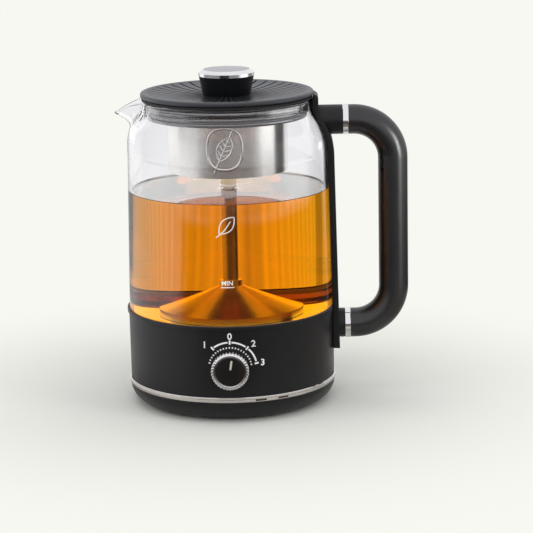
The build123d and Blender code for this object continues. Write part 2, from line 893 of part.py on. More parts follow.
# ---------------------------------------------------------------- heater under the jug
with BuildPart() as heating_plate:
    revolve(
        half_section(
            (0, pan_low_z),
            (pan_radius, pan_low_z),
            (pan_radius + pan_slope, ledge_z),
            (pan_flange_radius, ledge_z),
            (pan_flange_radius, collar_low_z),
            (pan_radius + pan_slope - pan_thickness, collar_low_z),
            (pan_radius - pan_thickness, pan_top_z),
            (0, pan_top_z),
        ),
        axis=Axis.Z,
    )
heating_plate.part.label = "heating_plate"
export_step(heating_plate.part, "parts/heating_plate.step")

with BuildPart() as heat_spreader:
    with BuildSketch(Plane.XY.offset(spreader_low_z)):
        Circle(spreader_radius)
    extrude(amount=spreader_thickness)
    with BuildSketch(Plane.XZ):
        with Locations((heater_circle, heater_z)):
            Circle(heater_tube_radius + slip)
    revolve(axis=Axis.Z, mode=Mode.SUBTRACT)
heat_spreader.part.label = "heat_spreader"
export_step(heat_spreader.part, "parts/heat_spreader.step")

heater_ends = (180 - heater_gap_angle / 2, 180 + heater_gap_angle / 2)
heater_spots = [
    (heater_circle * math.cos(math.radians(turn)), heater_circle * math.sin(math.radians(turn)))
    for turn in heater_ends
]
with BuildPart() as heater_element:
    with BuildSketch(side_plane(heater_ends[1])):
        with Locations((heater_circle, heater_z)):
            Circle(heater_tube_radius)
    revolve(axis=Axis.Z, revolution_arc=360 - heater_gap_angle)
    for spot in heater_spots:
        with Locations((spot[0], spot[1], heater_z)):
            Sphere(heater_tube_radius)
        with BuildSketch(Plane(origin=(spot[0], spot[1], heater_z), z_dir=(0, 0, -1))):
            Circle(heater_tube_radius)
        extrude(amount=heater_leg)
        with BuildSketch(Plane(origin=(spot[0], spot[1], heater_z), z_dir=(0, 0, -1))):
            Circle(heater_pin)
        extrude(amount=heater_leg + heater_pin_length)
heater_element.part.label = "heater_element"
export_step(heater_element.part, "parts/heater_element.step")

with BuildPart() as thermostat:
    with BuildSketch(Plane.XY.offset(spreader_low_z)):
        Circle(thermostat_radius)
    extrude(amount=-thermostat_height / 2)
    with BuildSketch(Plane.XY.offset(spreader_low_z - thermostat_height / 2)):
        Circle(thermostat_neck)
    extrude(amount=-thermostat_height / 2)
    with BuildSketch(Plane.XY.offset(spreader_low_z - thermostat_height)):
        with GridLocations(0, thermostat_radius, 1, 2):
            Rectangle(thermostat_tab_width, thermostat_tab_thickness)
    extrude(amount=-thermostat_tab_length)
thermostat.part.label = "thermostat"
export_step(thermostat.part, "parts/thermostat.step")

with BuildPart() as thermal_fuse:
    fuse_z = spreader_low_z - fuse_clip - fuse_radius
    with BuildSketch(Plane.YZ.offset(-fuse_length / 2)):
        with Locations((fuse_offset, fuse_z)):
            Circle(fuse_radius)
    extrude(amount=fuse_length)
    # saddle that holds the fuse against the spreader
    with Locations((0, fuse_offset, spreader_low_z - (fuse_clip + fuse_radius) / 2)):
        Box(saddle_length, saddle_width, fuse_clip + fuse_radius)
thermal_fuse.part.label = "thermal_fuse"
export_step(thermal_fuse.part, "parts/thermal_fuse.step")

# ---------------------------------------------------------------- socket over the base's tower
socket_roof_z = tower_top_z + socket_clearance
socket_top_z = socket_roof_z + socket_top
with BuildPart() as kettle_socket:
    revolve(
        half_section(
            (tower_radius + socket_clearance, cover_low_z),
            (socket_radius, cover_low_z),
            (socket_radius, cover_top_z),
            (socket_flange, cover_top_z),
            (socket_flange, cover_top_z + socket_flange_thickness),
            (socket_radius, cover_top_z + socket_flange_thickness),
            (socket_radius, socket_top_z),
            (0, socket_top_z),
            (0, socket_roof_z),
            (tower_radius + socket_clearance, socket_roof_z),
        ),
        axis=Axis.Z,
    )
kettle_socket.part.label = "kettle_socket"
export_step(kettle_socket.part, "parts/kettle_socket.step")

with BuildPart() as socket_contacts:
    with BuildSketch(Plane.XY.offset(socket_roof_z)):
        Circle(pin_radius)
    extrude(amount=-contact_reach)
    with BuildSketch(Plane.XY.offset(socket_roof_z)):
        Circle(blade_outer)
        Circle(blade_inner, mode=Mode.SUBTRACT)
    extrude(amount=-contact_reach)
socket_contacts.part.label = "socket_contacts"
export_step(socket_contacts.part, "parts/socket_contacts.step")

# ---------------------------------------------------------------- control board and leads
board_top_z = board_z + board_thickness
lead_pitch = 4 * wire_radius  # leads stand two diameters apart
lead_x = -board_inner_x - lead_pitch
with BuildPart() as control_board:
    with BuildSketch(Plane.XY.offset(board_z)):
        with Locations((board_centre_x, 0)):
            Rectangle(board_length, board_width)
    extrude(amount=board_thickness)
control_board.part.label = "control_board"
export_step(control_board.part, "parts/control_board.step")

with BuildPart() as relay:
    with Locations((-relay_x, 0, board_top_z)):
        Box(relay_length, relay_width, relay_height, align=(Align.CENTER, Align.CENTER, Align.MIN))
    fillet(relay.edges().filter_by(Axis.Z), relay_round)
relay.part.label = "relay"
export_step(relay.part, "parts/relay.step")

with BuildPart() as board_parts:
    with BuildSketch(Plane.XY.offset(board_top_z)):
        with Locations(((lead_x - relay_x + relay_length / 2) / 2, 0)):
            Circle(capacitor_radius)
    extrude(amount=capacitor_height)
    with BuildSketch(Plane.XY.offset(board_top_z)):
        with Locations((board_centre_x + chip_size, board_width / 2 - chip_size)):
            Rectangle(chip_size, chip_size)
    extrude(amount=chip_height)
board_parts.part.label = "board_parts"
export_step(board_parts.part, "parts/board_parts.step")

lead_arch_z = socket_top_z + 2 * wire_bend
with BuildPart() as socket_leads:
    for lead_y in (-lead_spread, 0, lead_spread):
        add(
            wire(
                (-socket_radius / 2, lead_y, socket_top_z),
                (-socket_radius / 2, lead_y, lead_arch_z),
                (lead_x, lead_y, lead_arch_z),
                (lead_x, lead_y, board_top_z),
            )
        )
socket_leads.part.label = "socket_leads"
export_step(socket_leads.part, "parts/socket_leads.step")

heater_lead_x = -board_inner_x - board_length + 2 * wire_radius
heater_run_z = (board_top_z + heater_pin_z) / 2
with BuildPart() as heater_leads:
    for spot in heater_spots:
        add(
            wire(
                (heater_lead_x, spot[1], board_top_z),
                (heater_lead_x, spot[1], heater_run_z),
                (spot[0], spot[1], heater_run_z),
                (spot[0], spot[1], heater_pin_z),
            )
        )
heater_leads.part.label = "heater_leads"
export_step(heater_leads.part, "parts/heater_leads.step")

# ---------------------------------------------------------------- rotary switch
switch_back = switch_face - switch_depth
switch_lead_z = dial_z - switch_size / 4
with BuildPart() as rotary_switch:
    with BuildSketch(Plane.XZ.offset(switch_back)):
        with Locations((0, dial_z)):
            RectangleRounded(switch_size, switch_size, switch_round)
    extrude(amount=switch_depth)
    with BuildSketch(Plane.XZ.offset(switch_face)):
        with Locations((0, dial_z)):
            Circle(bush_radius)
    extrude(amount=bush_length)
    with BuildSketch(Plane.XZ.offset(switch_face - shaft_inside)):
        with Locations((0, dial_z)):
            Circle(shaft_radius + slip)
    extrude(amount=shaft_inside + bush_length, mode=Mode.SUBTRACT)
rotary_switch.part.label = "rotary_switch"
export_step(rotary_switch.part, "parts/rotary_switch.step")

with BuildPart() as switch_nut:
    with BuildSketch(Plane.XZ.offset(nut_seat)):
        with Locations((0, dial_z)):
            RegularPolygon(nut_circle, 6)
            Circle(bush_radius + slip, mode=Mode.SUBTRACT)
    extrude(amount=nut_thickness)
switch_nut.part.label = "switch_nut"
export_step(switch_nut.part, "parts/switch_nut.step")

with BuildPart() as switch_leads:
    for lead in (0, 1):
        landing_x = lead_x - lead_pitch * lead
        landing_y = -board_width / 2 + lead_pitch
        lead_z = switch_lead_z + lead_pitch * lead
        lead_turn_y = -switch_back + (2 + lead) * wire_bend
        add(
            wire(
                (-switch_size / 4, -switch_back, lead_z),
                (-switch_size / 4, lead_turn_y, lead_z),
                (landing_x, lead_turn_y, lead_z),
                (landing_x, landing_y, lead_z),
                (landing_x, landing_y, board_top_z),
            )
        )
switch_leads.part.label = "switch_leads"
export_step(switch_leads.part, "parts/switch_leads.step")

# ---------------------------------------------------------------- dial
dial_axis = Axis((0, 0, dial_z), (0, -1, 0))
pointer_turn = math.radians(pointer_angle)
pointer_middle = pointer_start + pointer_length / 2
pointer_spot = (
    pointer_middle * math.sin(pointer_turn),
    dial_z + pointer_middle * math.cos(pointer_turn),
)

with BuildPart() as dial_knob:
    with BuildSketch(Plane.XZ.offset(dial_back)):
        with Locations((0, dial_z)):
            Circle(dial_core_radius)
    extrude(amount=dial_face - dial_back)
    fillet(dial_knob.faces().sort_by(Axis.Y)[0].edges(), dial_edge_round)
    with BuildSketch(Plane.XZ.offset(dial_back)):
        with Locations((0, dial_z)):
            Circle(dial_cavity_radius)
    extrude(amount=dial_cavity_depth, mode=Mode.SUBTRACT)
    with BuildSketch(Plane.XZ.offset(dial_back)):
        with Locations((0, dial_z)):
            Circle(shaft_radius + slip)
    extrude(amount=dial_face - dial_back - 2 * pointer_depth, mode=Mode.SUBTRACT)
    with BuildSketch(Plane.XZ.offset(dial_face)):
        with Locations(pointer_spot):
            SlotOverall(pointer_length + 2 * slip, pointer_width + 2 * slip, 90 - pointer_angle)
    extrude(amount=-pointer_depth, mode=Mode.SUBTRACT)
dial_knob.part.label = "dial_knob"
export_step(dial_knob.part, "parts/dial_knob.step")

with BuildPart() as dial_ring:
    dial_ring_face = dial_face - dial_ring_setback
    with BuildSketch(Plane.XZ.offset(dial_back)):
        with Locations((0, dial_z)):
            Circle(dial_ring_radius)
            with PolarLocations(dial_ring_radius, tooth_count):
                Circle(tooth_radius)
            Circle(dial_core_radius + slip, mode=Mode.SUBTRACT)
    extrude(amount=dial_ring_face - dial_back)
    # bevel round the front edge
    with BuildSketch(Plane.YZ):
        with BuildLine():
            bevel_edge = dial_z + dial_ring_radius + 2 * tooth_radius
            Polyline(
                (-dial_ring_face + dial_ring_bevel, bevel_edge),
                (-dial_ring_face - tooth_radius, bevel_edge),
                (-dial_ring_face - tooth_radius, dial_z + dial_ring_radius - dial_ring_bevel),
                close=True,
            )
        make_face()
    revolve(axis=dial_axis, mode=Mode.SUBTRACT)
dial_ring.part.label = "dial_ring"
export_step(dial_ring.part, "parts/dial_ring.step")

with BuildPart() as dial_pointer:
    with BuildSketch(Plane.XZ.offset(dial_face - pointer_depth)):
        with Locations(pointer_spot):
            SlotOverall(pointer_length, pointer_width, 90 - pointer_angle)
    extrude(amount=pointer_depth + pointer_proud)
dial_pointer.part.label = "dial_pointer"
export_step(dial_pointer.part, "parts/dial_pointer.step")

with BuildPart() as dial_shaft:
    shaft_start = switch_face - shaft_inside + free_gap
    with BuildSketch(Plane.XZ.offset(shaft_start)):
        with Locations((0, dial_z)):
            Circle(shaft_radius)
    extrude(amount=dial_face - 2 * pointer_depth - shaft_start)
    with BuildSketch(Plane.XZ.offset(dial_back + dial_cavity_depth)):
        with Locations((0, dial_z + 2 * shaft_radius - shaft_flat)):
            Rectangle(4 * shaft_radius, 2 * shaft_radius)
    extrude(amount=dial_face - dial_back, mode=Mode.SUBTRACT)
dial_shaft.part.label = "dial_shaft"
export_step(dial_shaft.part, "parts/dial_shaft.step")

# ---------------------------------------------------------------- handle bracket and its pad
pad_inner = fit_gap
pad_outer = pad_inner + pad_thickness
bracket_inner = pad_outer + slip
bracket_outer = bracket_inner + bracket_thickness
lug_radius = lid_radius + lug_gap
ring_end = ring_start + ring_width
top_seat_x = shoulder_radius + bracket_inner + large_head_height + screw_seat_gap

with BuildPart() as handle_bracket:
    revolve(
        jug_shape(bracket_outer, bracket_low_z, bracket_top_z, side_plane(-bracket_angle / 2)),
        axis=Axis.Z,
        revolution_arc=bracket_angle,
    )
    # stubs that carry the handle's arms, and the spigots they end in
    with BuildSketch(Plane.YZ.offset(ring_start)):
        with Locations((0, arm_top_z), (0, arm_low_z)):
            Circle(arm_radius)
    extrude(amount=neck_radius - ring_start)
    with BuildSketch(Plane.YZ.offset(ring_start)):
        with Locations((0, arm_top_z), (0, arm_low_z)):
            Circle(spigot_radius)
    extrude(amount=ring_width + spigot_length)
    # hollow for the jug and its pad, the lid's edge, the housing and its collar
    revolve(
        jug_shape(bracket_inner, 0, rim_z - fit_gap), axis=Axis.Z, mode=Mode.SUBTRACT
    )
    revolve(
        half_section((0, 0), (lug_radius, 0), (lug_radius, bracket_top_z), (0, bracket_top_z)),
        axis=Axis.Z,
        mode=Mode.SUBTRACT,
    )
    revolve(
        half_section(
            (0, 0),
            (housing_radius + fit_gap, 0),
            (housing_radius + fit_gap, collar_low_z - fit_gap),
            (collar_radius + fit_gap, collar_low_z - fit_gap),
            (collar_radius + fit_gap, housing_top_z + fit_gap),
            (0, housing_top_z + fit_gap),
        ),
        axis=Axis.Z,
        mode=Mode.SUBTRACT,
    )
    lug_edges = handle_bracket.edges().filter_by_position(Axis.Z, bracket_top_z, bracket_top_z)
    fillet(lug_edges.sort_by(SortBy.LENGTH)[-1], bracket_round)
    # holes for the handle screws, the upper one with a seat for its head
    with BuildSketch(Plane.YZ.offset(neck_radius)):
        with Locations((0, arm_top_z), (0, arm_low_z)):
            Circle(large_screw + slip)
    extrude(amount=grip_x - neck_radius, mode=Mode.SUBTRACT)
    with BuildSketch(Plane.YZ.offset(top_seat_x)):
        with Locations((0, arm_top_z)):
            Circle(large_head + fit_gap)
    extrude(amount=neck_radius / 2 - top_seat_x, mode=Mode.SUBTRACT)
    with BuildSketch(Plane.YZ.offset(neck_radius)):
        with Locations((bracket_screw_spread, bracket_screw_z), (-bracket_screw_spread, bracket_screw_z)):
            Circle(small_screw + slip)
    extrude(amount=housing_inner + bracket_screw_length + hole_spare - neck_radius, mode=Mode.SUBTRACT)
handle_bracket.part.label = "handle_bracket"
export_step(handle_bracket.part, "parts/handle_bracket.step")

with BuildPart() as bracket_pad:
    pad_low_z = housing_top_z + pad_low_gap
    revolve(
        jug_shape(pad_outer, pad_low_z, rim_z - 2 * pad_thickness, side_plane(-pad_angle / 2)),
        axis=Axis.Z,
        revolution_arc=pad_angle,
    )
    revolve(jug_shape(pad_inner, 0, rim_z + pad_thickness), axis=Axis.Z, mode=Mode.SUBTRACT)
bracket_pad.part.label = "bracket_pad"
export_step(bracket_pad.part, "parts/bracket_pad.step")

with BuildPart() as bracket_screws:
    for side in (-1, 1):
        add(
            screw(
                math.sqrt(housing_inner**2 - bracket_screw_spread**2) - head_standoff,
                side * bracket_screw_spread,
                bracket_screw_z,
                small_screw,
                small_head,
                small_head_height,
                bracket_screw_length + head_standoff,
                (1, 0, 0),
            )
        )
bracket_screws.part.label = "bracket_screws"
export_step(bracket_screws.part, "parts/bracket_screws.step")

# ---------------------------------------------------------------- handle
for name, arm_z in (("handle_ring_top", arm_top_z), ("handle_ring_low", arm_low_z)):
    with BuildPart() as handle_ring:
        with BuildSketch(Plane.YZ.offset(ring_start)):
            with Locations((0, arm_z)):
                Circle(arm_radius + ring_proud)
        extrude(amount=ring_width)
        chamfer(handle_ring.edges().filter_by(GeomType.CIRCLE), ring_proud)
        with BuildSketch(Plane.YZ.offset(ring_start)):
            with Locations((0, arm_z)):
                Circle(spigot_radius + fit_gap)
        extrude(amount=ring_width, mode=Mode.SUBTRACT)
    handle_ring.part.label = name
    export_step(handle_ring.part, f"parts/{name}.step")

grip_points = (
    (ring_end, 0, arm_top_z),
    (grip_x, 0, arm_top_z),
    (grip_x, 0, arm_low_z),
    (ring_end, 0, arm_low_z),
)
boss_start = ring_end + spigot_length + fit_gap
with BuildPart() as handle_grip:
    with BuildLine() as grip_route:
        FilletPolyline(*grip_points, radius=grip_bend)
    with BuildSketch(Plane.YZ.offset(ring_end)):
        with Locations((0, arm_top_z)):
            Circle(arm_radius)
    sweep(path=grip_route.line)
    with BuildSketch(Plane.YZ.offset(ring_end)):
        with Locations((0, arm_top_z)):
            Circle(arm_radius - grip_wall)
    sweep(path=grip_route.line, mode=Mode.SUBTRACT)
    with BuildSketch(Plane.YZ.offset(boss_start)):
        with Locations((0, arm_top_z), (0, arm_low_z)):
            Circle(arm_radius - grip_wall + weld)
    extrude(amount=grip_boss_length)
    with BuildSketch(Plane.YZ.offset(boss_start)):
        with Locations((0, arm_top_z), (0, arm_low_z)):
            Circle(large_screw + slip)
    extrude(amount=grip_boss_length, mode=Mode.SUBTRACT)
handle_grip.part.label = "handle_grip"
export_step(handle_grip.part, "parts/handle_grip.step")

with BuildPart() as handle_screws:
    low_seat_x = housing_inner - fit_gap
    screw_end = boss_start + handle_screw_bite
    for seat_x, seat_z in ((top_seat_x, arm_top_z), (low_seat_x, arm_low_z)):
        add(
            screw(
                seat_x,
                0,
                seat_z,
                large_screw,
                large_head,
                large_head_height,
                screw_end - seat_x,
                (1, 0, 0),
            )
        )
handle_screws.part.label = "handle_screws"
export_step(handle_screws.part, "parts/handle_screws.step")

# ---------------------------------------------------------------- strainer basket
basket_top_z = basket_flange_z + basket_wall
with BuildPart() as strainer_cup:
    # side wall with a flange that hangs on the seat ring
    revolve(
        half_section(
            (basket_radius - basket_wall, basket_floor_z),
            (basket_radius, basket_floor_z),
            (basket_radius, basket_flange_z),
            (basket_flange, basket_flange_z),
            (basket_flange, basket_top_z),
            (basket_radius - basket_wall, basket_top_z),
        ),
        axis=Axis.Z,
    )
    # floor with rings of drain holes round the riser's hole
    with BuildSketch(Plane.XY.offset(basket_floor_z)):
        Circle(basket_radius - basket_wall / 2)
        Circle(riser_radius + fit_gap, mode=Mode.SUBTRACT)
        for ring in range(2, drain_ring_count + 2):
            with PolarLocations(ring * drain_pitch, ring * drain_sector_count):
                Circle(drain_radius, mode=Mode.SUBTRACT)
    extrude(amount=basket_wall)
strainer_cup.part.label = "strainer_cup"
export_step(strainer_cup.part, "parts/strainer_cup.step")

seat_mid_z = seat_low_z + seat_low_height
seat_groove_z = seat_mid_z + seat_mid_height
seat_rim_z = seat_groove_z + seat_groove_height
with BuildPart() as seat_ring:
    revolve(
        half_section(
            (basket_radius + fit_gap, seat_low_z),
            (seat_low_radius, seat_low_z),
            (seat_low_radius, seat_mid_z),
            (seat_mid_radius, seat_mid_z),
            (seat_mid_radius, seat_groove_z),
            (seat_groove_radius, seat_groove_z),
            (seat_groove_radius, seat_rim_z),
            (seat_top_radius, seat_rim_z),
            (seat_top_radius, seat_top_z),
            (seat_inner, seat_top_z),
            (seat_inner, basket_flange_z),
            (basket_radius + fit_gap, basket_flange_z),
        ),
        axis=Axis.Z,
    )
seat_ring.part.label = "seat_ring"
export_step(seat_ring.part, "parts/seat_ring.step")

with BuildPart() as basket_seal:
    revolve(
        half_section(
            (seat_inner, seat_top_z),
            (seat_top_radius, seat_top_z),
            (seat_top_radius, rim_z),
            (neck_radius, rim_z),
            (neck_radius, lid_low_z),
            (seat_inner, lid_low_z),
        ),
        axis=Axis.Z,
    )
basket_seal.part.label = "basket_seal"
export_step(basket_seal.part, "parts/basket_seal.step")

# ---------------------------------------------------------------- riser tube, nuts, spray cap and bell
bell_low_z = pan_top_z + bell_gap
skirt_top_z = bell_low_z + bell_skirt
cone_top_z = skirt_top_z + bell_cone_height
riser_low_z = cone_top_z - riser_foot
riser_top_z = basket_floor_z + riser_rise
nut_low_z = basket_floor_z - nut_length
riser_disc_z = nut_low_z - nut_flange_thickness - riser_disc_gap - riser_disc_thickness

with BuildPart() as riser_tube:
    with BuildSketch(Plane.XY.offset(riser_low_z)):
        Circle(riser_radius)
    extrude(amount=riser_top_z - riser_low_z)
    with BuildSketch(Plane.XY.offset(riser_disc_z)):
        Circle(riser_disc_radius)
    extrude(amount=riser_disc_thickness)
    with BuildSketch(Plane.XY.offset(riser_low_z)):
        Circle(riser_bore)
    extrude(amount=riser_top_z - riser_low_z, mode=Mode.SUBTRACT)
riser_tube.part.label = "riser_tube"
export_step(riser_tube.part, "parts/riser_tube.step")

with BuildPart() as riser_nuts:
    with BuildSketch(Plane.XY.offset(nut_low_z)):
        RegularPolygon(nut_radius, 6)
    extrude(amount=nut_length)
    with BuildSketch(Plane.XY.offset(nut_low_z)):
        Circle(nut_flange_radius)
    extrude(amount=-nut_flange_thickness)
    with BuildSketch(Plane.XY.offset(basket_floor_z + basket_wall)):
        RegularPolygon(nut_radius, 6)
    extrude(amount=top_nut_length)
    with BuildSketch(Plane.XY.offset(nut_low_z - nut_flange_thickness)):
        Circle(riser_radius + slip)
    extrude(amount=2 * nut_length, mode=Mode.SUBTRACT)
riser_nuts.part.label = "riser_nuts"
export_step(riser_nuts.part, "parts/riser_nuts.step")

with BuildPart() as spray_cap:
    stem_low_z = riser_top_z - spray_stem_length
    head_z = riser_top_z + spray_head_rise
    revolve(
        half_section(
            (riser_radius + slip, stem_low_z),
            (spray_stem_radius, stem_low_z),
            (spray_stem_radius, head_z),
            (spray_head_radius, head_z),
            (spray_head_radius, head_z + spray_head_edge),
            (spray_head_top, head_z + spray_head_thickness),
            (0, head_z + spray_head_thickness),
            (0, head_z),
            (riser_bore, head_z),
            (riser_bore, riser_top_z),
            (riser_radius + slip, riser_top_z),
        ),
        axis=Axis.Z,
    )
    for turn in range(spray_hole_count):
        hole_plane = side_plane(turn * 360 / spray_hole_count)
        across = Plane(
            origin=(0, 0, riser_top_z + spray_hole_rise), z_dir=hole_plane.x_dir
        )
        with BuildSketch(across):
            Circle(spray_hole_radius)
        extrude(amount=2 * spray_stem_radius, mode=Mode.SUBTRACT)
spray_cap.part.label = "spray_cap"
export_step(spray_cap.part, "parts/spray_cap.step")

with BuildPart() as bell:
    riser_hole = riser_radius + slip
    revolve(
        half_section(
            (bell_radius - bell_wall, bell_low_z),
            (bell_radius, bell_low_z),
            (bell_radius, skirt_top_z),
            (bell_collar_radius, cone_top_z),
            (bell_collar_radius, cone_top_z + bell_collar_height),
            (riser_hole, cone_top_z + bell_collar_height),
            (riser_hole, cone_top_z - bell_wall / 2),
            (bell_radius - bell_wall, skirt_top_z - bell_wall / 2),
        ),
        axis=Axis.Z,
    )
    for notch_angle in bell_notch_angles:
        notch_plane = side_plane(notch_angle)
        with BuildSketch(Plane(origin=(0, 0, bell_low_z), x_dir=notch_plane.x_dir, z_dir=(0, 0, 1))):
            with Locations((bell_radius, 0)):
                Rectangle(4 * bell_wall, bell_notch_width)
        extrude(amount=bell_notch_height, mode=Mode.SUBTRACT)
bell.part.label = "bell"
export_step(bell.part, "parts/bell.step")

# ---------------------------------------------------------------- lid
plug_radius = seat_inner - plug_side_gap
plug_low_z = lid_low_z - plug_depth
with BuildPart() as lid_disc:
    revolve(
        half_section(
            (0, lid_low_z),
            (lid_radius - lid_edge_round / 2, lid_low_z),
            (lid_radius, lid_low_z + lid_edge_round / 2),
            (lid_radius, lid_rim_z - lid_edge_round),
            (lid_radius - lid_edge_round, lid_rim_z),
            (lid_radius - lid_rim_width, lid_rim_z),
            (lid_dish_radius + lid_dish_foot, lid_floor_z + lid_dish_rise),
            (lid_dish_radius, lid_floor_z),
            (0, lid_floor_z),
        ),
        axis=Axis.Z,
    )
    # fine ribs that radiate from the knob
    with BuildSketch(Plane.XY.offset(lid_floor_z)):
        with PolarLocations((rib_start + rib_end) / 2, rib_count):
            Rectangle(rib_end - rib_start, rib_width)
    extrude(amount=rib_height)
    # bosses for the plug's screws, and the knob screw's hole
    with BuildSketch(Plane.XY.offset(lid_low_z)):
        with PolarLocations(lid_screw_circle, lid_screw_count):
            Circle(lid_boss_radius)
    extrude(amount=plug_floor - plug_depth)
    with BuildSketch(Plane.XY.offset(plug_low_z + plug_floor)):
        with PolarLocations(lid_screw_circle, lid_screw_count):
            Circle(small_screw + slip)
    extrude(amount=plug_depth - plug_floor + lid_floor / 2, mode=Mode.SUBTRACT)
    with BuildSketch(Plane.XY.offset(lid_low_z)):
        Circle(large_screw + fit_gap)
    extrude(amount=lid_floor + rib_height, mode=Mode.SUBTRACT)
lid_disc.part.label = "lid_disc"
export_step(lid_disc.part, "parts/lid_disc.step")

with BuildPart() as lid_plug:
    seal_low_z = plug_low_z + plug_floor
    revolve(
        half_section(
            (0, plug_low_z),
            (plug_radius - plug_bevel, plug_low_z),
            (plug_radius, plug_low_z + plug_bevel),
            (plug_radius, seal_low_z),
            (plug_radius - lid_seal_groove, seal_low_z),
            (plug_radius - lid_seal_groove, seal_low_z + lid_seal_height),
            (plug_radius, seal_low_z + lid_seal_height),
            (plug_radius, lid_low_z),
            (plug_radius - plug_wall, lid_low_z),
            (plug_radius - plug_wall, plug_low_z + plug_floor),
            (0, plug_low_z + plug_floor),
        ),
        axis=Axis.Z,
    )
    with BuildSketch(Plane.XY.offset(plug_low_z)):
        with PolarLocations(lid_screw_circle, lid_screw_count):
            Circle(small_screw + fit_gap)
    extrude(amount=plug_floor, mode=Mode.SUBTRACT)
lid_plug.part.label = "lid_plug"
export_step(lid_plug.part, "parts/lid_plug.step")

with BuildPart() as lid_seal:
    revolve(
        half_section(
            (plug_radius - lid_seal_groove + slip, seal_low_z + slip),
            (plug_radius + plug_side_gap / 2, seal_low_z + (lid_seal_height - lid_seal_crown) / 2),
            (plug_radius + plug_side_gap / 2, seal_low_z + (lid_seal_height + lid_seal_crown) / 2),
            (plug_radius - lid_seal_groove + slip, seal_low_z + lid_seal_height - slip),
        ),
        axis=Axis.Z,
    )
lid_seal.part.label = "lid_seal"
export_step(lid_seal.part, "parts/lid_seal.step")

with BuildPart() as lid_screws:
    for place in PolarLocations(lid_screw_circle, lid_screw_count):
        seat = place.position
        add(
            screw(
                seat.X,
                seat.Y,
                plug_low_z,
                small_screw,
                small_head,
                lid_head_height,
                plug_depth,
                (0, 0, 1),
            )
        )
lid_screws.part.label = "lid_screws"
export_step(lid_screws.part, "parts/lid_screws.step")

# ---------------------------------------------------------------- lid knob
with BuildPart() as lid_knob:
    side_slope = (knob_top_radius - knob_low_radius) / knob_height
    ceiling_z = knob_top_z - knob_wall
    knob_base_z = lid_floor_z
    revolve(
        half_section(
            (knob_low_radius - knob_wall, knob_base_z),
            (knob_low_radius, knob_base_z),
            (knob_top_radius, knob_top_z),
            (0, knob_top_z),
            (0, knob_base_z),
            (knob_boss_radius, knob_base_z),
            (knob_boss_radius, ceiling_z),
            (knob_top_radius - knob_wall * (1 + side_slope), ceiling_z),
        ),
        axis=Axis.Z,
    )
    with BuildSketch(Plane.XY.offset(knob_base_z)):
        Circle(large_screw + slip)
    extrude(amount=knob_screw_bite + hole_spare, mode=Mode.SUBTRACT)
lid_knob.part.label = "lid_knob"
export_step(lid_knob.part, "parts/lid_knob.step")

with BuildPart() as knob_ring:
    cap_seat_z = ring_top_z - cap_thickness
    revolve(
        half_section(
            (knob_ring_inner, knob_top_z),
            (knob_ring_radius - edge_break, knob_top_z),
            (knob_ring_radius, knob_top_z + edge_break),
            (knob_ring_radius, knob_top_z + knob_ring_height),
            (cap_radius + knob_ring_land, ring_top_z),
            (cap_radius + fit_gap, ring_top_z),
            (cap_radius + fit_gap, cap_seat_z),
            (knob_ring_inner, cap_seat_z),
        ),
        axis=Axis.Z,
    )
knob_ring.part.label = "knob_ring"
export_step(knob_ring.part, "parts/knob_ring.step")

with BuildPart() as knob_cap:
    with BuildSketch(Plane.XZ):
        with BuildLine():
            Polyline(
                (0, ring_top_z + cap_dome),
                (0, cap_seat_z),
                (cap_radius, cap_seat_z),
                (cap_radius, ring_top_z),
            )
            dome_radius = (cap_radius**2 + cap_dome**2) / (2 * cap_dome)
            RadiusArc((cap_radius, ring_top_z), (0, ring_top_z + cap_dome), -dome_radius)
        make_face()
    revolve(axis=Axis.Z)
knob_cap.part.label = "knob_cap"
export_step(knob_cap.part, "parts/knob_cap.step")

with BuildPart() as knob_screw:
    add(
        screw(
            0,
            0,
            lid_low_z,
            large_screw,
            large_head,
            large_head_height,
            lid_floor + knob_screw_bite,
            (0, 0, 1),
        )
    )
knob_screw.part.label = "knob_screw"
export_step(knob_screw.part, "parts/knob_screw.step")
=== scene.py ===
"""Glass tea maker on its power base: glass, tea, lid, dial, bracket, ring, prints and finishes."""

import json
import math

import bmesh
import bpy
import numpy as np
from mathutils import Matrix


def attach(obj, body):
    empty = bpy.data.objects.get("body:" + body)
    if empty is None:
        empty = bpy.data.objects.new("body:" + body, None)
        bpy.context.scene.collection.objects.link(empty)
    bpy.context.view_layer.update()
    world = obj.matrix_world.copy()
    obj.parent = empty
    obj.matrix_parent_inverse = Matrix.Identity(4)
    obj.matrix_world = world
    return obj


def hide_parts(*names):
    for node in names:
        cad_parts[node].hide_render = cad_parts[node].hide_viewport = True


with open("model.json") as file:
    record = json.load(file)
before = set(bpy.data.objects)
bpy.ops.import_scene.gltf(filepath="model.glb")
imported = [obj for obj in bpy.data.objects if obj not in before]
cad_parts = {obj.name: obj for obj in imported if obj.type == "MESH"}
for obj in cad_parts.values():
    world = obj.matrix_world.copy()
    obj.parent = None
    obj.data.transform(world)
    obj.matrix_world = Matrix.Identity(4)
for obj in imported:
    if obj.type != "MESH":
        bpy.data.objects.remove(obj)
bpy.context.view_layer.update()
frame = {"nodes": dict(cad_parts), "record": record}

bl_info = {
    "name": "Glass tea maker",
    "version": (1, 0, 0),
    "blender": (4, 5, 0),
    "location": "3D View > Sidebar > Tea maker",
    "description": "Builds the glass, tea, lid, dial, bracket, seat ring, prints, finishes and stage",
    "category": "Object",
}

MM = 0.001

# Heights and radii shared by several pieces, in millimetres.
HOUSING_RADIUS = 65.0
DIAL_Z = 35.2
FOOT_Z = 59.5
FOOT_RADIUS = 64.6
SHOULDER_Z = 158.0
SHOULDER_RADIUS = 62.9
NECK_Z = 182.8
NECK_RADIUS = 53.3
RIM_Z = 192.5
GLASS_WALL = 2.0
WALL_LEAN = math.atan((FOOT_RADIUS - SHOULDER_RADIUS) / (SHOULDER_Z - FOOT_Z))
LID_RADIUS = 54.0


# ---- sizes and colours


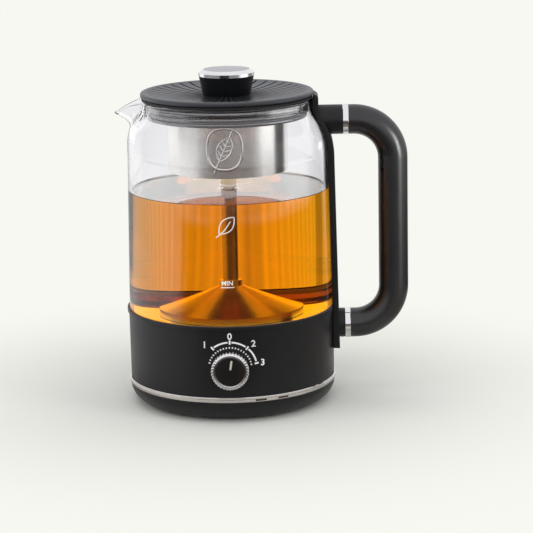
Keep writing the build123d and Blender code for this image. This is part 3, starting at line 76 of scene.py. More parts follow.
def length_setting(name, description, default, low, high):
    """A length in metres that the user can change."""
    return bpy.props.FloatProperty(
        name=name,
        description=description,
        default=default,
        min=low,
        max=high,
        unit="LENGTH",
        subtype="DISTANCE",
    )


def count_setting(name, description, default, low, high):
    """A number of equal details that the user can change."""
    return bpy.props.IntProperty(name=name, description=description, default=default, min=low, max=high)


def colour_setting(name, description, default):
    """A colour that the user can change."""
    return bpy.props.FloatVectorProperty(
        name=name,
        description=description,
        default=default,
        min=0.0,
        max=1.0,
        size=3,
        subtype="COLOR",
    )


class TeaMakerSizes(bpy.types.PropertyGroup):
    """Sizes that can be changed while the solid parts stay as they are."""

    tea_level: length_setting("Tea level", "Height of the tea's surface above the table", 0.1358, 0.09, 0.145)
    rib_count: count_setting("Lid ribs", "Number of ribs that radiate from the lid's knob", 42, 12, 60)
    tooth_count: count_setting("Dial teeth", "Number of teeth round the dial's chrome ring", 36, 20, 90)
    numeral_height: length_setting(
        "Numeral height", "Height of the numbers round the dial", 0.0042, 0.002, 0.006
    )


class TeaMakerColours(bpy.types.PropertyGroup):
    """Colours of the main finishes."""

    plastic: colour_setting("Body plastic", "Colour of the matte black plastic", (0.0055, 0.0054, 0.0062))
    tea: colour_setting(
        "Tea", "Colour that the tea lets through; the rest is absorbed", (0.985, 0.815, 0.0)
    )
    print_paint: colour_setting(
        "Print", "Colour of the printed marks on the housing and the glass", (0.9, 0.9, 0.89)
    )
    room: colour_setting(
        "Room", "Colour of the surroundings as the glass and the metal show them", (0.896, 0.887, 0.917)
    )
    backdrop: colour_setting(
        "Backdrop", "Colour of the floor and of everything round it", (0.930, 0.939, 0.879)
    )


def sizes():
    """The sizes as the user has set them."""
    return bpy.context.scene.tea_maker_sizes


def colours():
    """The colours as the user has set them."""
    return bpy.context.scene.tea_maker_colours


# ---- surfaces


def points(*parts):
    """Grid of points from their coordinates, each an array or one number for them all."""
    return np.stack(np.broadcast_arrays(*parts), axis=-1)


def around(radius, turn, height):
    """Points at a distance and an angle round Z: (r cos t, r sin t, z)."""
    return points(radius * np.cos(turn), radius * np.sin(turn), height)


def unit(vectors):
    """Vectors scaled to length 1."""
    return vectors / np.linalg.norm(vectors, axis=-1, keepdims=True)


def ease(value, low, high):
    """Smooth step from 0 at low to 1 at high: 3 t^2 - 2 t^3."""
    share = np.clip((value - low) / (high - low), 0, 1)
    return share * share * (3 - 2 * share)


def larger(one, other, blend):
    """Larger of two values, rounded over where they differ by less than the blend.

    With h = 1 - |one - other| / blend, cut off at 0, it is max(one, other) + blend h^2 / 4.
    """
    near = np.clip(1 - np.abs(one - other) / blend, 0, 1)
    return np.maximum(one, other) + blend * near**2 / 4


def rounded(corners, steps):
    """Outline through corners given as (across, up, radius), each corner rounded to its radius.

    The arc at a corner runs from one cut before it to one cut after it, where the cut is the
    radius times the tangent of half the turn. It is the rational quadratic with the corner as
    its middle point, weighted by the cosine of half the turn, which is an exact circle.
    """
    corners = np.array(corners, float)
    here = corners[:, :2]
    to_last = unit(np.roll(here, 1, axis=0) - here)
    to_next = unit(np.roll(here, -1, axis=0) - here)
    between = np.arccos(np.clip((to_last * to_next).sum(axis=1), -1, 1))
    half_turn = (math.pi - between) / 2
    cut = (corners[:, 2] * np.tan(half_turn))[:, None]
    share = np.linspace(0, 1, steps + 1)[None, :, None]
    first = (1 - share) ** 2
    middle = 2 * share * (1 - share) * np.cos(half_turn)[:, None, None]
    last = share**2
    arcs = first * (here + cut * to_last)[:, None] + middle * here[:, None]
    arcs = (arcs + last * (here + cut * to_next)[:, None]) / (first + middle + last)
    return arcs.reshape(-1, 2)


def turned(outline, count):
    """Surface of revolution: each (r, z) of the outline at every angle round Z."""
    turn = np.linspace(0, 2 * math.pi, count, endpoint=False)
    return around(outline[:, 0, None], turn, outline[:, 1, None])


def facing_front(surface, height):
    """Turns a surface about Z into one about the dial's axis: (x, y, z) becomes (x, -z, y + height)."""
    x, y, z = np.moveaxis(surface, -1, 0)
    return points(x, -z, y + height)


def with_ends(tube):
    """A tube of points with both its ends closed by their middle points."""
    middle = tube.mean(axis=1, keepdims=True) + 0 * tube
    return np.concatenate([middle[:1], tube, middle[-1:]])


def ribbon(path, width, low, high, closed=False):
    """Raised strip along a flat path of (across, up) points.

    At each point the strip's four edges lie half a width to either side along the path's
    normal, at the heights low and high. An open strip's ends are closed.
    """
    path = np.array(path, float)
    if closed:
        along = np.roll(path, -1, axis=0) - np.roll(path, 1, axis=0)
    else:
        along = np.gradient(path, axis=0)
    along = unit(along)
    side = points(-along[:, 1], along[:, 0]) * width / 2
    left = path + side
    right = path - side
    rings = [(left, low), (left, high), (right, high), (right, low)]
    strip = np.stack([points(*edge.T, level) for edge, level in rings], axis=1)
    return strip if closed else with_ends(strip)


def arc(radius, start, end, count, centre):
    """Points on an arc round a centre: r sin t across and r cos t up, in degrees clockwise from the top."""
    turn = np.radians(np.linspace(start, end, count))
    return points(centre[0] + radius * np.sin(turn), centre[1] + radius * np.cos(turn))


def on_cylinder(flat, radius, lean=0.0, foot=0.0):
    """Bends (across, up, out) round the front of a cylinder: the angle is across over the radius.

    The radius shrinks by the lean for every unit of height above the foot.
    """
    across, up, out = np.moveaxis(np.asarray(flat, float), -1, 0)
    local = radius - lean * (up - foot)
    turn = across / local
    local = local + out
    return points(local * np.sin(turn), -local * np.cos(turn), up)


def grid_faces(rows, columns, wrap_rows, wrap_columns, start):
    """Four-cornered faces of a grid of points, as rows of indices."""
    row = np.arange(rows if wrap_rows else rows - 1)[:, None]
    column = np.arange(columns if wrap_columns else columns - 1)
    corners = ((0, 0), (0, 1), (1, 1), (1, 0))
    loops = [(row + down) % rows * columns + (column + aside) % columns for down, aside in corners]
    return start + np.stack(loops, axis=-1).reshape(-1, 4)


def add_mask(mesh, name, share):
    """Stores a value from 0 to 1 at each vertex, worked out from its place in millimetres."""
    place = np.empty(len(mesh.vertices) * 3)
    mesh.vertices.foreach_get("co", place)
    mask = mesh.attributes.new(name, "FLOAT", "POINT")
    mask.data.foreach_set("value", share(*(place.reshape(-1, 3) / MM).T).astype(np.float32))


def make_piece(name, surfaces, body, slot, finish=None, replaces=(), crease=38.0, extra=()):
    """Joins surfaces into one mesh, closes its seams, turns its faces out and puts it on a body.

    Each surface is a grid of points in millimetres with two flags that say whether its rows and
    its columns run round; extra holds loose (vertices, faces) pairs. The finish is that of the
    slot unless another is named. Edges that turn by more than the crease, in degrees, stay sharp.
    """
    vertices = []
    faces = []
    start = 0
    for grid, wrap_rows, wrap_columns in surfaces:
        rows, columns = grid.shape[:2]
        vertices.append(grid.reshape(-1, 3))
        faces += grid_faces(rows, columns, wrap_rows, wrap_columns, start).tolist()
        start += rows * columns
    for loose, loops in extra:
        vertices.append(loose)
        faces += [[start + index for index in loop] for loop in loops]
        start += len(loose)
    mesh = bpy.data.meshes.new(name)
    mesh.from_pydata(np.concatenate(vertices) * MM, [], faces)
    shell = bmesh.new()
    shell.from_mesh(mesh)
    bmesh.ops.remove_doubles(shell, verts=shell.verts, dist=1e-6)
    bmesh.ops.dissolve_degenerate(shell, edges=shell.edges, dist=1e-7)
    bmesh.ops.recalc_face_normals(shell, faces=shell.faces)
    shell.to_mesh(mesh)
    shell.free()
    mesh.shade_smooth()
    mesh.set_sharp_from_angle(angle=math.radians(crease))
    mesh.materials.append(FINISHES[finish or slot])
    piece = bpy.data.objects.new(name, mesh)
    bpy.context.scene.collection.objects.link(piece)
    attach(piece, body)
    if replaces:
        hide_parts(*replaces)
    return piece


def hide_from(piece, *rays):
    """Keeps an object out of the sight of the named kinds of ray."""
    for ray in rays:
        setattr(piece, "visible_" + ray, False)


def lettering(text, height, centre, low, high):
    """Plain letters as a closed slab: (vertices, faces) with across, up and out as coordinates."""
    curve = bpy.data.curves.new("letters", "FONT")
    curve.body = text
    curve.align_x = "CENTER"
    curve.align_y = "CENTER"
    curve.extrude = 0.5
    curve.offset = 0.02
    curve.resolution_u = 5
    holder = bpy.data.objects.new("letters", curve)
    bpy.context.scene.collection.objects.link(holder)
    bpy.context.view_layer.update()
    flat = bpy.data.meshes.new_from_object(holder.evaluated_get(bpy.context.evaluated_depsgraph_get()))
    slab = np.empty(len(flat.vertices) * 3)
    flat.vertices.foreach_get("co", slab)
    slab = slab.reshape(-1, 3)
    loops = [list(face.vertices) for face in flat.polygons]
    bpy.data.objects.remove(holder)
    bpy.data.meshes.remove(flat)
    bpy.data.curves.remove(curve)
    lowest, highest = slab.min(axis=0), slab.max(axis=0)
    slab -= (highest + lowest) / 2
    slab[:, :2] *= height / (highest - lowest)[1]
    slab[:, :2] += centre
    slab[:, 2] = low + (slab[:, 2] + 0.5) * (high - low)
    return slab, loops


# ---- the jug's form


# The spout and the fuller shoulder under it, in millimetres from the axis and above the table.
SPOUT_REACH = 70.1
SPOUT_ROOT = 50.0
SPOUT_HALF_WIDTH = 18.0
SPOUT_TIP_HALF_WIDTH = 1.9
SPOUT_DROOP = 7.1
SPOUT_CURVE = 1.6
SPOUT_TIP_DEPTH = 1.0
SPOUT_SLOPE = 0.62
THROAT_FULLNESS = 2.4
THROAT_START_Z = 158.0
THROAT_FULL_Z = 177.0
THROAT_END_Z = 189.0
THROAT_HALF_ANGLE = 0.42
NECK_BLEND = 4.0
RIM_BLEND = 2.0
LOW_BLEND = 8.0
BLEND_DROP = 9.0

# Rows and columns of the glass: rows are level up to this height and follow the edge above it.
# The spout lies in the columns whose direction has at least this cosine from straight ahead.
LEVEL_ROWS_Z = 171.0
JUG_COLUMNS = 320
COLUMN_CROWDING = 0.8
SPOUT_COSINE = 0.6
FAR_ASIDE = 9.0
HALVINGS = 26


def shoulder_curve():
    """Centre and radius of the shoulder's arc, which leaves the leaning wall without a bend.

    The centre lies on the wall's normal, as far from the neck's foot as from the wall's end:
    the radius is the chord's length squared over twice the chord's share along the normal.
    """
    normal = np.array([math.cos(WALL_LEAN), math.sin(WALL_LEAN)])
    start = np.array([SHOULDER_RADIUS, SHOULDER_Z])
    chord = start - np.array([NECK_RADIUS, NECK_Z])
    radius = chord @ chord / (2 * chord @ normal)
    return start - normal * radius, radius


def wall_radius(height):
    """Outer radius of the jug at a height: leaning wall, shoulder arc, then the upright neck."""
    centre, radius = shoulder_curve()
    wall = FOOT_RADIUS - (height - FOOT_Z) * math.tan(WALL_LEAN)
    rise = np.clip(height - centre[1], 0, radius)
    shoulder = centre[0] + np.sqrt(radius**2 - rise**2)
    side = np.where(height < SHOULDER_Z, wall, shoulder)
    return larger(side, NECK_RADIUS, NECK_BLEND)


def spout_share(reach):
    """Share of the way from the spout's root to its tip."""
    return np.clip((reach - SPOUT_ROOT) / (SPOUT_REACH - SPOUT_ROOT), 0, 1)


def spout_width(reach):
    """Half width of the spout at a distance from the axis."""
    return SPOUT_HALF_WIDTH - spout_share(reach) * (SPOUT_HALF_WIDTH - SPOUT_TIP_HALF_WIDTH)


def spout_top(reach):
    """Height of the spout's edge, which droops towards the tip."""
    return RIM_Z - SPOUT_DROOP * spout_share(reach) ** SPOUT_CURVE


def throat(turn, height):
    """Fullness of the shoulder under the spout.

    It eases in and out up the jug, and round the axis it falls as exp(-a^2), with a the angle
    from the spout over the half angle.
    """
    up = ease(height, THROAT_START_Z, THROAT_FULL_Z) * (1 - ease(height, THROAT_FULL_Z, THROAT_END_Z))
    aside = (np.mod(turn, 2 * math.pi) - math.pi) / THROAT_HALF_ANGLE
    return THROAT_FULLNESS * up * np.exp(-(aside**2))


def outermost(inside, slant):
    """Largest distance ahead, for each slant, at which inside() still holds, by halving.

    The slant is the distance aside over the distance ahead. The result is 0 where inside()
    doesn't hold at the spout's root.
    """
    near = np.full(np.shape(slant), SPOUT_ROOT)
    far = np.full(np.shape(slant), SPOUT_REACH)
    started = inside(near, near * slant)
    for _ in range(HALVINGS):
        half = (near + far) / 2
        held = inside(half, half * slant)
        near = np.where(held, half, near)
        far = np.where(held, far, half)
    return np.where(started, near, 0)


def jug_sheet():
    """Outer sheet of the jug as rows from foot to rim and columns round the axis.

    Columns crowd at the spout: the angle is pi + s - k sin s, with k the crowding. The spout's
    section at a distance is a half ellipse, and the sheet takes the smooth maximum of it and the
    body.
    """
    step = np.linspace(0, 2 * math.pi, JUG_COLUMNS, endpoint=False)
    turn = math.pi + step - COLUMN_CROWDING * np.sin(step)
    ahead = np.cos(turn - math.pi) > SPOUT_COSINE
    slant = np.where(ahead, np.abs(np.tan(turn - math.pi)), FAR_ASIDE)
    plan = outermost(lambda x, y: y <= spout_width(x), slant)
    edge_radius = np.where(ahead, np.hypot(plan, plan * slant), 0)
    edge_height = np.where(edge_radius > NECK_RADIUS, spout_top(plan), RIM_Z)
    wall_end = SHOULDER_Z - 4
    wall_rows = np.linspace(FOOT_Z, wall_end, 9)
    shoulder_rows = np.linspace(wall_end, LEVEL_ROWS_Z, 24)[1:]
    level = np.concatenate([wall_rows, shoulder_rows])[:, None] + 0 * turn
    share = np.linspace(0, 1, 31)[1:, None]
    height = np.concatenate([level, LEVEL_ROWS_Z + share * (edge_height - LEVEL_ROWS_Z)])
    body = wall_radius(height) + throat(turn, height)

    def inside(x, y):
        """Whether a point ahead and aside lies within the spout, above its half ellipse's bottom."""
        across = y / np.maximum(spout_width(x), 1e-6)
        low_edge = RIM_Z - SPOUT_DROOP - SPOUT_TIP_DEPTH - SPOUT_SLOPE * (SPOUT_REACH - x)
        drop = (spout_top(x) - low_edge) * np.sqrt(np.clip(1 - across**2, 0, 1))
        return (across <= 1) & (height >= spout_top(x) - drop)

    reach = outermost(inside, np.broadcast_to(slant, height.shape))
    spout = np.where(ahead, np.hypot(reach, reach * slant), 0)
    below_rim = np.clip((RIM_Z - height) / BLEND_DROP, 0, 1)
    radius = larger(body, spout, RIM_BLEND + (LOW_BLEND - RIM_BLEND) * below_rim)
    return around(radius, turn, height)


def sheet_normals(sheet):
    """Unit normals of a sheet that runs round in its columns: the way round times the way up."""
    step = np.linalg.norm(np.diff(sheet, axis=0), axis=-1).mean(axis=1)
    up = np.gradient(sheet, np.concatenate([[0], np.cumsum(step)]), axis=0)
    across = np.roll(sheet, -1, axis=1) - np.roll(sheet, 1, axis=1)
    return unit(np.cross(across, up))


def jug_walls():
    """Outer sheet, inner sheet and rim of the jug.

    The inner sheet lies a wall along the normals, which thins by half towards the spout's tip,
    and the rim is the half circle between the two. The last rows sink so that the rounded rim
    ends at the rim's height.
    """
    outer = jug_sheet()
    normal = sheet_normals(outer)
    beyond = np.hypot(outer[..., 0], outer[..., 1]) - wall_radius(outer[..., 2])
    near_tip = np.clip(beyond / (SPOUT_REACH - NECK_RADIUS), 0, 1)[..., None]
    wall = GLASS_WALL - near_tip
    inner = outer - wall * normal
    inner[0, :, 2] = FOOT_Z
    up = unit(outer[-1] - outer[-2])
    turn = np.linspace(0, math.pi, 9)[1:-1, None, None]
    middle = (outer[-1] + inner[-1]) / 2
    half = wall[-1] / 2
    rim = middle + half * (np.cos(turn) * normal[-1] + np.sin(turn) * up)
    top = rim[..., 2].max() - RIM_Z
    rim[..., 2] -= top
    drop = np.zeros(len(outer))
    drop[-4:] = top * np.array([0.25, 0.5, 0.75, 1.0])
    outer[..., 2] -= drop[:, None]
    inner[..., 2] -= drop[:, None]
    return outer, inner, rim


# ---- finishes

WHITE = (1.0, 1.0, 1.0, 1.0)
BLACK = (0.0, 0.0, 0.0, 1.0)
# Noise values at which a pattern is at one end and at the other.
PATTERN_ENDS = (0.3, 0.7)


def add_node(tree, kind, inputs=(), **settings):
    """Adds a shader node: each input, by name or number, takes a value or another node's output."""
    node = tree.nodes.new("ShaderNode" + kind)
    for name, value in settings.items():
        setattr(node, name, value)
    for socket, value in dict(inputs).items():
        if isinstance(value, bpy.types.NodeSocket):
            tree.links.new(value, node.inputs[socket])
        else:
            node.inputs[socket].default_value = value
    return node


def feed(material, socket, output):
    """Leads a node's output into a socket of the material's shader."""
    tree = material.node_tree
    tree.links.new(output, tree.nodes["Principled BSDF"].inputs[socket])


def new_finish(name, **sockets):
    """A node material with the given values on its shader's sockets."""
    material = bpy.data.materials.new(name)
    material.use_nodes = True
    shader = material.node_tree.nodes["Principled BSDF"]
    for socket, value in sockets.items():
        shader.inputs[socket.replace("_", " ")].default_value = value
    return material


def pattern(material, scale, detail=3.0, stretch=(1.0, 1.0, 1.0)):
    """Noise on the object's own coordinates, stretched along its axes."""
    tree = material.node_tree
    place = add_node(tree, "TexCoord").outputs["Object"]
    place = add_node(tree, "Mapping", {"Vector": place, "Scale": stretch}).outputs["Vector"]
    noise = add_node(tree, "TexNoise", {"Vector": place, "Scale": scale, "Detail": detail})
    return noise.outputs["Fac"]


def vary(material, source, socket, low, high):
    """Lets a pattern move a socket between two values."""
    start, end = PATTERN_ENDS
    ends = {"From Min": start, "From Max": end, "To Min": low, "To Max": high}
    spread = add_node(material.node_tree, "MapRange", {"Value": source, **ends})
    feed(material, socket, spread.outputs["Result"])


def tint(material, source, dark, light):
    """Lets a pattern move the base colour between two colours."""
    ramp = add_node(material.node_tree, "ValToRGB", {"Fac": source})
    for element, position, colour in zip(ramp.color_ramp.elements, PATTERN_ENDS, (dark, light)):
        element.position = position
        element.color = (*colour, 1)
    feed(material, "Base Color", ramp.outputs["Color"])


def grain(material, source, strength, depth):
    """Lets a pattern raise the surface by a depth in metres."""
    bump = add_node(material.node_tree, "Bump", {"Height": source, "Strength": strength, "Distance": depth})
    feed(material, "Normal", bump.outputs["Normal"])


def masked(material, name, *changes):
    """Lets a stored value move sockets: each change is a socket with its values at 0 and at 1."""
    mask = add_node(material.node_tree, "Attribute", attribute_name=name).outputs["Fac"]
    for socket, at_none, at_full in changes:
        ends = {"To Min": at_none, "To Max": at_full}
        spread = add_node(material.node_tree, "MapRange", {"Value": mask, **ends})
        feed(material, socket, spread.outputs["Result"])


def scaled(colour, share):
    """A colour made lighter or darker."""
    return tuple(share * channel for channel in colour)


def plastic_finish(name, colour, rough, specular=0.5, texture=0.12):
    """Moulded plastic: cloudy colour, uneven gloss and a fine spark-eroded texture."""
    material = new_finish(name, Specular_IOR_Level=specular)
    cloud = pattern(material, 90.0)
    tint(material, cloud, scaled(colour, 0.88), scaled(colour, 1.12))
    vary(material, cloud, "Roughness", rough - 0.03, rough + 0.03)
    grain(material, pattern(material, 2600.0, 2.0), texture, 0.00004)
    return material


def metal_finish(name, colour, rough, lines=None, depth=0.00002, spread=0.05):
    """Metal: uneven gloss, with drawn lines where the noise is stretched along them."""
    material = new_finish(name, Metallic=1.0)
    cloud = pattern(material, 60.0, 4.0)
    tint(material, cloud, scaled(colour, 0.94), scaled(colour, 1.04))
    vary(material, cloud, "Roughness", rough - spread / 2, rough + spread / 2)
    if lines:
        grain(material, pattern(material, 1.0, 2.0, lines), 0.25, depth)
    else:
        grain(material, pattern(material, 900.0), 0.05, depth)
    return material


def glass_finish(name):
    """Clear glass with the faintest waviness of a blown wall."""
    material = new_finish(name, Roughness=0.0, IOR=1.47, Transmission_Weight=1.0)
    tint(material, pattern(material, 12.0, 1.0), (0.985, 0.992, 0.99), (0.995, 1.0, 0.998))
    grain(material, pattern(material, 22.0, 1.0), 0.05, 0.0004)
    return material


def tea_finish(name, colour):
    """Clear liquid that absorbs light along its path."""
    material = new_finish(name, Base_Color=WHITE, Roughness=0.0, IOR=1.33, Transmission_Weight=1.0)
    tree = material.node_tree
    absorption = add_node(tree, "VolumeAbsorption", {"Color": (*colour, 1), "Density": 60.0})
    tree.links.new(absorption.outputs["Volume"], tree.nodes["Material Output"].inputs["Volume"])
    grain(material, pattern(material, 30.0, 1.0), 0.03, 0.0003)
    return material


ROUND_LINES = (30.0, 30.0, 6000.0)
FINE_SPECKS = (900.0, 900.0, 900.0)
LID_SPECULAR = 0.95
LID_ROUGHNESS = 0.36
FINISHES = {}

# For each slot: the finish's name, colour, roughness, specular level and strength of texture.
PLASTICS = {
    "lid_plastic": ("lid_black_plastic", (0.013, 0.0138, 0.0162), LID_ROUGHNESS, LID_SPECULAR, 0.0),
    "grip_plastic": ("grip_black_plastic", (0.006, 0.006, 0.0068), 0.3, 0.75, 0.06),
    "knob_plastic": ("knob_black_plastic", (0.0035, 0.0038, 0.0042), 0.25, 0.5, 0.04),
    "inner_plastic": ("inner_black_plastic", (0.02, 0.02, 0.021), 0.5, 0.4),
    "dial_black": ("dial_black_plastic", (0.007, 0.006, 0.0055), 0.34, 0.4),
    "black_rubber": ("black_rubber", (0.012, 0.012, 0.0125), 0.55, 0.35, 0.2),
    "clear_silicone": ("milky_silicone", (0.45, 0.45, 0.44), 0.45),
    "bakelite": ("bakelite", (0.05, 0.028, 0.018), 0.4),
    "lamp_lens": ("dark_red_lens", (0.03, 0.008, 0.006), 0.12),
    "green_board": ("green_board", (0.02, 0.12, 0.045), 0.35),
    "relay_blue": ("relay_blue", (0.02, 0.06, 0.22), 0.35),
    "board_black": ("board_black", (0.012, 0.012, 0.012), 0.4),
    "wire_red": ("red_sleeve", (0.35, 0.012, 0.01), 0.5),
    "wire_white": ("white_sleeve", (0.7, 0.69, 0.65), 0.5),
    "cream_paint": ("cream_paint", (0.6, 0.56, 0.47), 0.4),
}

# For each slot: the finish's name, colour, roughness, drawn lines, their depth and uneven gloss.
METALS = {
    "strainer_steel": ("satin_steel", (0.86, 0.835, 0.81), 0.2, ROUND_LINES),
    "ring_steel": ("dark_polished_steel", (0.27, 0.27, 0.275), 0.05, None, 0.00002, 0.02),
    "cap_steel": ("cap_steel", (0.42, 0.425, 0.45), 0.28, FINE_SPECKS, 0.000004),
    "bell_steel": ("polished_steel", (0.86, 0.83, 0.8), 0.24, ROUND_LINES, 0.00001),
    "brass": ("turned_brass", (0.72, 0.5, 0.2), 0.25, ROUND_LINES),
    "screw_steel": ("zinc_plated_steel", (0.55, 0.56, 0.58), 0.3),
    "chrome": ("polished_chrome", (0.88, 0.88, 0.885), 0.08),
    "trim_chrome": ("trim_chrome", (0.76, 0.735, 0.7), 0.12),
    "steel": ("brushed_steel", (0.66, 0.645, 0.625), 0.24, ROUND_LINES),
    "aluminium": ("cast_aluminium", (0.62, 0.62, 0.63), 0.45, None, 0.0001),
    "heater_steel": ("heat_tinted_steel", (0.36, 0.31, 0.27), 0.38),
}

# Nodes whose own finish differs from that of their material slot.
NODE_FINISHES = {
    "lid_knob": "knob_plastic",
    "strainer_cup": "strainer_steel",
    "bell": "bell_steel",
    "knob_cap": "cap_steel",
    "handle_grip": "grip_plastic",
    "trim_ring": "trim_chrome",
}


def make_finishes(chosen):
    """Fills the table of finishes: one for each material slot and for each special node."""
    FINISHES["black_plastic"] = plastic_finish("satin_black_plastic", tuple(chosen.plastic), 0.42, 0.38)
    FINISHES["print_paint"] = plastic_finish("white_print", tuple(chosen.print_paint), 0.5)
    FINISHES["clear_glass"] = glass_finish("clear_glass")
    FINISHES["tea"] = tea_finish("tea", tuple(chosen.tea))
    FINISHES.update({slot: plastic_finish(*values) for slot, values in PLASTICS.items()})
    FINISHES.update({slot: metal_finish(*values) for slot, values in METALS.items()})
    lid = FINISHES["lid_plastic"]
    # Painted reflection: a bluish tint on the lid's reflections stands in for bluish surroundings.
    lid.node_tree.nodes["Principled BSDF"].inputs["Specular Tint"].default_value = (0.88, 0.93, 1.0, 1)
    # Painted shade in the lid's grooves: where the stored groove mask is full, the reflection is taken away
    # and the gloss dulled.
    painted_groove_shade = ("Specular IOR Level", LID_SPECULAR, 0.0)
    masked(lid, "groove", painted_groove_shade, ("Roughness", LID_ROUGHNESS, 0.5))


# ---- pieces


class TEAMAKER_OT_finishes(bpy.types.Operator):
    """Give every solid part the finish of its material slot"""

    bl_idname = "teamaker.finishes"
    bl_label = "Finishes"

    def execute(self, context):
        make_finishes(colours())
        for part in frame["record"]["subparts"]:
            mesh = frame["nodes"][part["node"]].data
            mesh.materials.clear()
            mesh.materials.append(FINISHES[NODE_FINISHES.get(part["node"], part["material_slot"])])
        return {"FINISHED"}


class TEAMAKER_OT_jug(bpy.types.Operator):
    """Blow the glass jug with its shoulder, neck and pouring spout"""

    bl_idname = "teamaker.jug"
    bl_label = "Glass jug"

    def execute(self, context):
        outer, inner, rim = jug_walls()
        wall = [(np.concatenate([outer, rim, inner[::-1]]), True, True)]
        jug = make_piece("jug_glass", wall, "kettle", "clear_glass", replaces=["glass_jug"], crease=60.0)
        hide_from(jug, "shadow")
        return {"FINISHED"}


# The tea reaches this far into the glass, so that no film of air shows between them. It starts
# on the heating plate and rises by the climb where its surface meets the wall.
TEA_OVERLAP = 0.1
MENISCUS_CLIMB = 0.9
MENISCUS_REACH = 3.2
PAN_FLOOR_Z = 55.84
TEA_SIDE_Z = 59.6


class TEAMAKER_OT_tea(bpy.types.Operator):
    """Fill the jug with tea up to its level, with a small meniscus at the wall"""

    bl_idname = "teamaker.tea"
    bl_label = "Tea"

    def execute(self, context):
        level = sizes().tea_level / MM
        inside = FOOT_RADIUS - GLASS_WALL / math.cos(WALL_LEAN) + TEA_OVERLAP
        side_z = np.linspace(TEA_SIDE_Z, level + MENISCUS_CLIMB, 12)
        side = points(inside - (side_z - FOOT_Z) * math.tan(WALL_LEAN), side_z)
        # The meniscus drops from the wall as (1 - s)^3 over its reach.
        share = np.linspace(0, 1, 8)
        edge = side[-1, 0] - MENISCUS_REACH * share
        meniscus = points(edge, level + MENISCUS_CLIMB * (1 - share) ** 3)[1:]
        bottom = np.array([(0, PAN_FLOOR_Z), (58.5, PAN_FLOOR_Z), (59.5, 58.6), (60.2, TEA_SIDE_Z)])
        top = points(np.linspace(meniscus[-1, 0], 0, 12), level)[1:]
        outline = np.concatenate([bottom, side, meniscus, top])
        tea = make_piece("tea", [(turned(outline, 192), False, True)], "kettle", "clear_glass", "tea")
        hide_from(tea, "shadow")
        return {"FINISHED"}


# The lid's dish: a hub round the knob, a floor, and a wall that climbs to the rim. Its grooves
# run from the hub to just inside the rim, fade in and out, and grow narrower between two radii.
LID_HUB_RADIUS = 14.6
LID_HUB_Z = 195.2
LID_FLOOR_RADIUS = 19.0
LID_FLOOR_Z = 194.6
LID_CLIMB_RADIUS = 26.0
LID_RIM_RADIUS = 50.8
LID_RIM_Z = 197.25
LID_UNDERSIDE_Z = 193.9
GROOVE_DEPTH = 0.6
GROOVE_POWER = 6
GROOVE_FADE_IN = 0.8
GROOVE_FADE_OUT = 1.5
GROOVE_MOST_OF_PITCH = 0.3
GROOVE_HALF_WIDTH = 0.8
GROOVE_NARROWING = 0.35
GROOVE_NARROW_FROM = 20.0
GROOVE_NARROW_TO = 38.0
GROOVE_END_RADIUS = 50.2


def groove_share(x, y, z, spare=0.0):
    """How deep a point of the lid lies in a groove between two ribs.

    It is 1 - (d / w)^6 at a distance d from the groove's middle, with a half width w that narrows
    towards the rim and where the grooves crowd at the knob. The spare widens it.
    """
    radius = np.maximum(np.hypot(x, y), 1e-3)
    begun = np.clip((radius - LID_HUB_RADIUS) / GROOVE_FADE_IN, 0, 1)
    left = np.clip((GROOVE_END_RADIUS - radius) / GROOVE_FADE_OUT, 0, 1)
    count = sizes().rib_count
    pitch = 2 * math.pi * radius / count
    place = np.arctan2(y, x) * count / (2 * math.pi)
    off = np.abs(place - np.round(place)) * pitch
    narrowed = GROOVE_NARROWING * ease(radius, GROOVE_NARROW_FROM, GROOVE_NARROW_TO)
    half = np.minimum(GROOVE_HALF_WIDTH - narrowed, GROOVE_MOST_OF_PITCH * pitch) + spare
    groove = np.clip(1 - (off / half) ** GROOVE_POWER, 0, 1)
    return np.where(z > LID_UNDERSIDE_Z + 0.05, groove * (begun * left), 0)


def groove_shade_share(x, y, z):
    """Share of painted shade at a point of the lid: full in a groove and on its walls."""
    return np.clip(3 * groove_share(x, y, z, 0.2), 0, 1)


class TEAMAKER_OT_lid(bpy.types.Operator):
    """Mould the lid with its ribs, rolled edge and undercut"""

    bl_idname = "teamaker.lid"
    bl_label = "Ribbed lid"

    def execute(self, context):
        flat = points(np.linspace(0, LID_HUB_RADIUS, 4), LID_HUB_Z)
        reach = np.linspace(LID_HUB_RADIUS, LID_RIM_RADIUS, 48)[1:]
        step = (LID_HUB_Z - LID_FLOOR_Z) * (1 - ease(reach, LID_HUB_RADIUS, LID_FLOOR_RADIUS))
        climb = np.clip((reach - LID_CLIMB_RADIUS) / (LID_RIM_RADIUS - LID_CLIMB_RADIUS), 0, 1)
        bowl = points(reach, LID_FLOOR_Z + step + (LID_RIM_Z - LID_FLOOR_Z) * climb**2)
        corners = [
            (LID_RIM_RADIUS, LID_RIM_Z, 0),
            (52.4, 197.4, 1.0),
            (LID_RADIUS, 196.9, 1.0),
            (LID_RADIUS, 194.7, 0.5),
            (53.0, 194.5, 0.2),
            (52.6, LID_UNDERSIDE_Z, 0),
            (0, LID_UNDERSIDE_Z, 0),
        ]
        steps = 6
        edge = rounded(corners, steps)[steps + 1 :]
        surface = turned(np.concatenate([flat, bowl, edge]), sizes().rib_count * 26)
        surface[..., 2] -= GROOVE_DEPTH * groove_share(*np.moveaxis(surface, -1, 0))
        shell = [(surface, False, True)]
        lid = make_piece("lid_top", shell, "lid", "black_plastic", "lid_plastic", ["lid_disc"], 50.0)
        # Stores where the lid's grooves and their walls get painted shade.
        add_mask(lid.data, "groove", groove_shade_share)
        return {"FINISHED"}


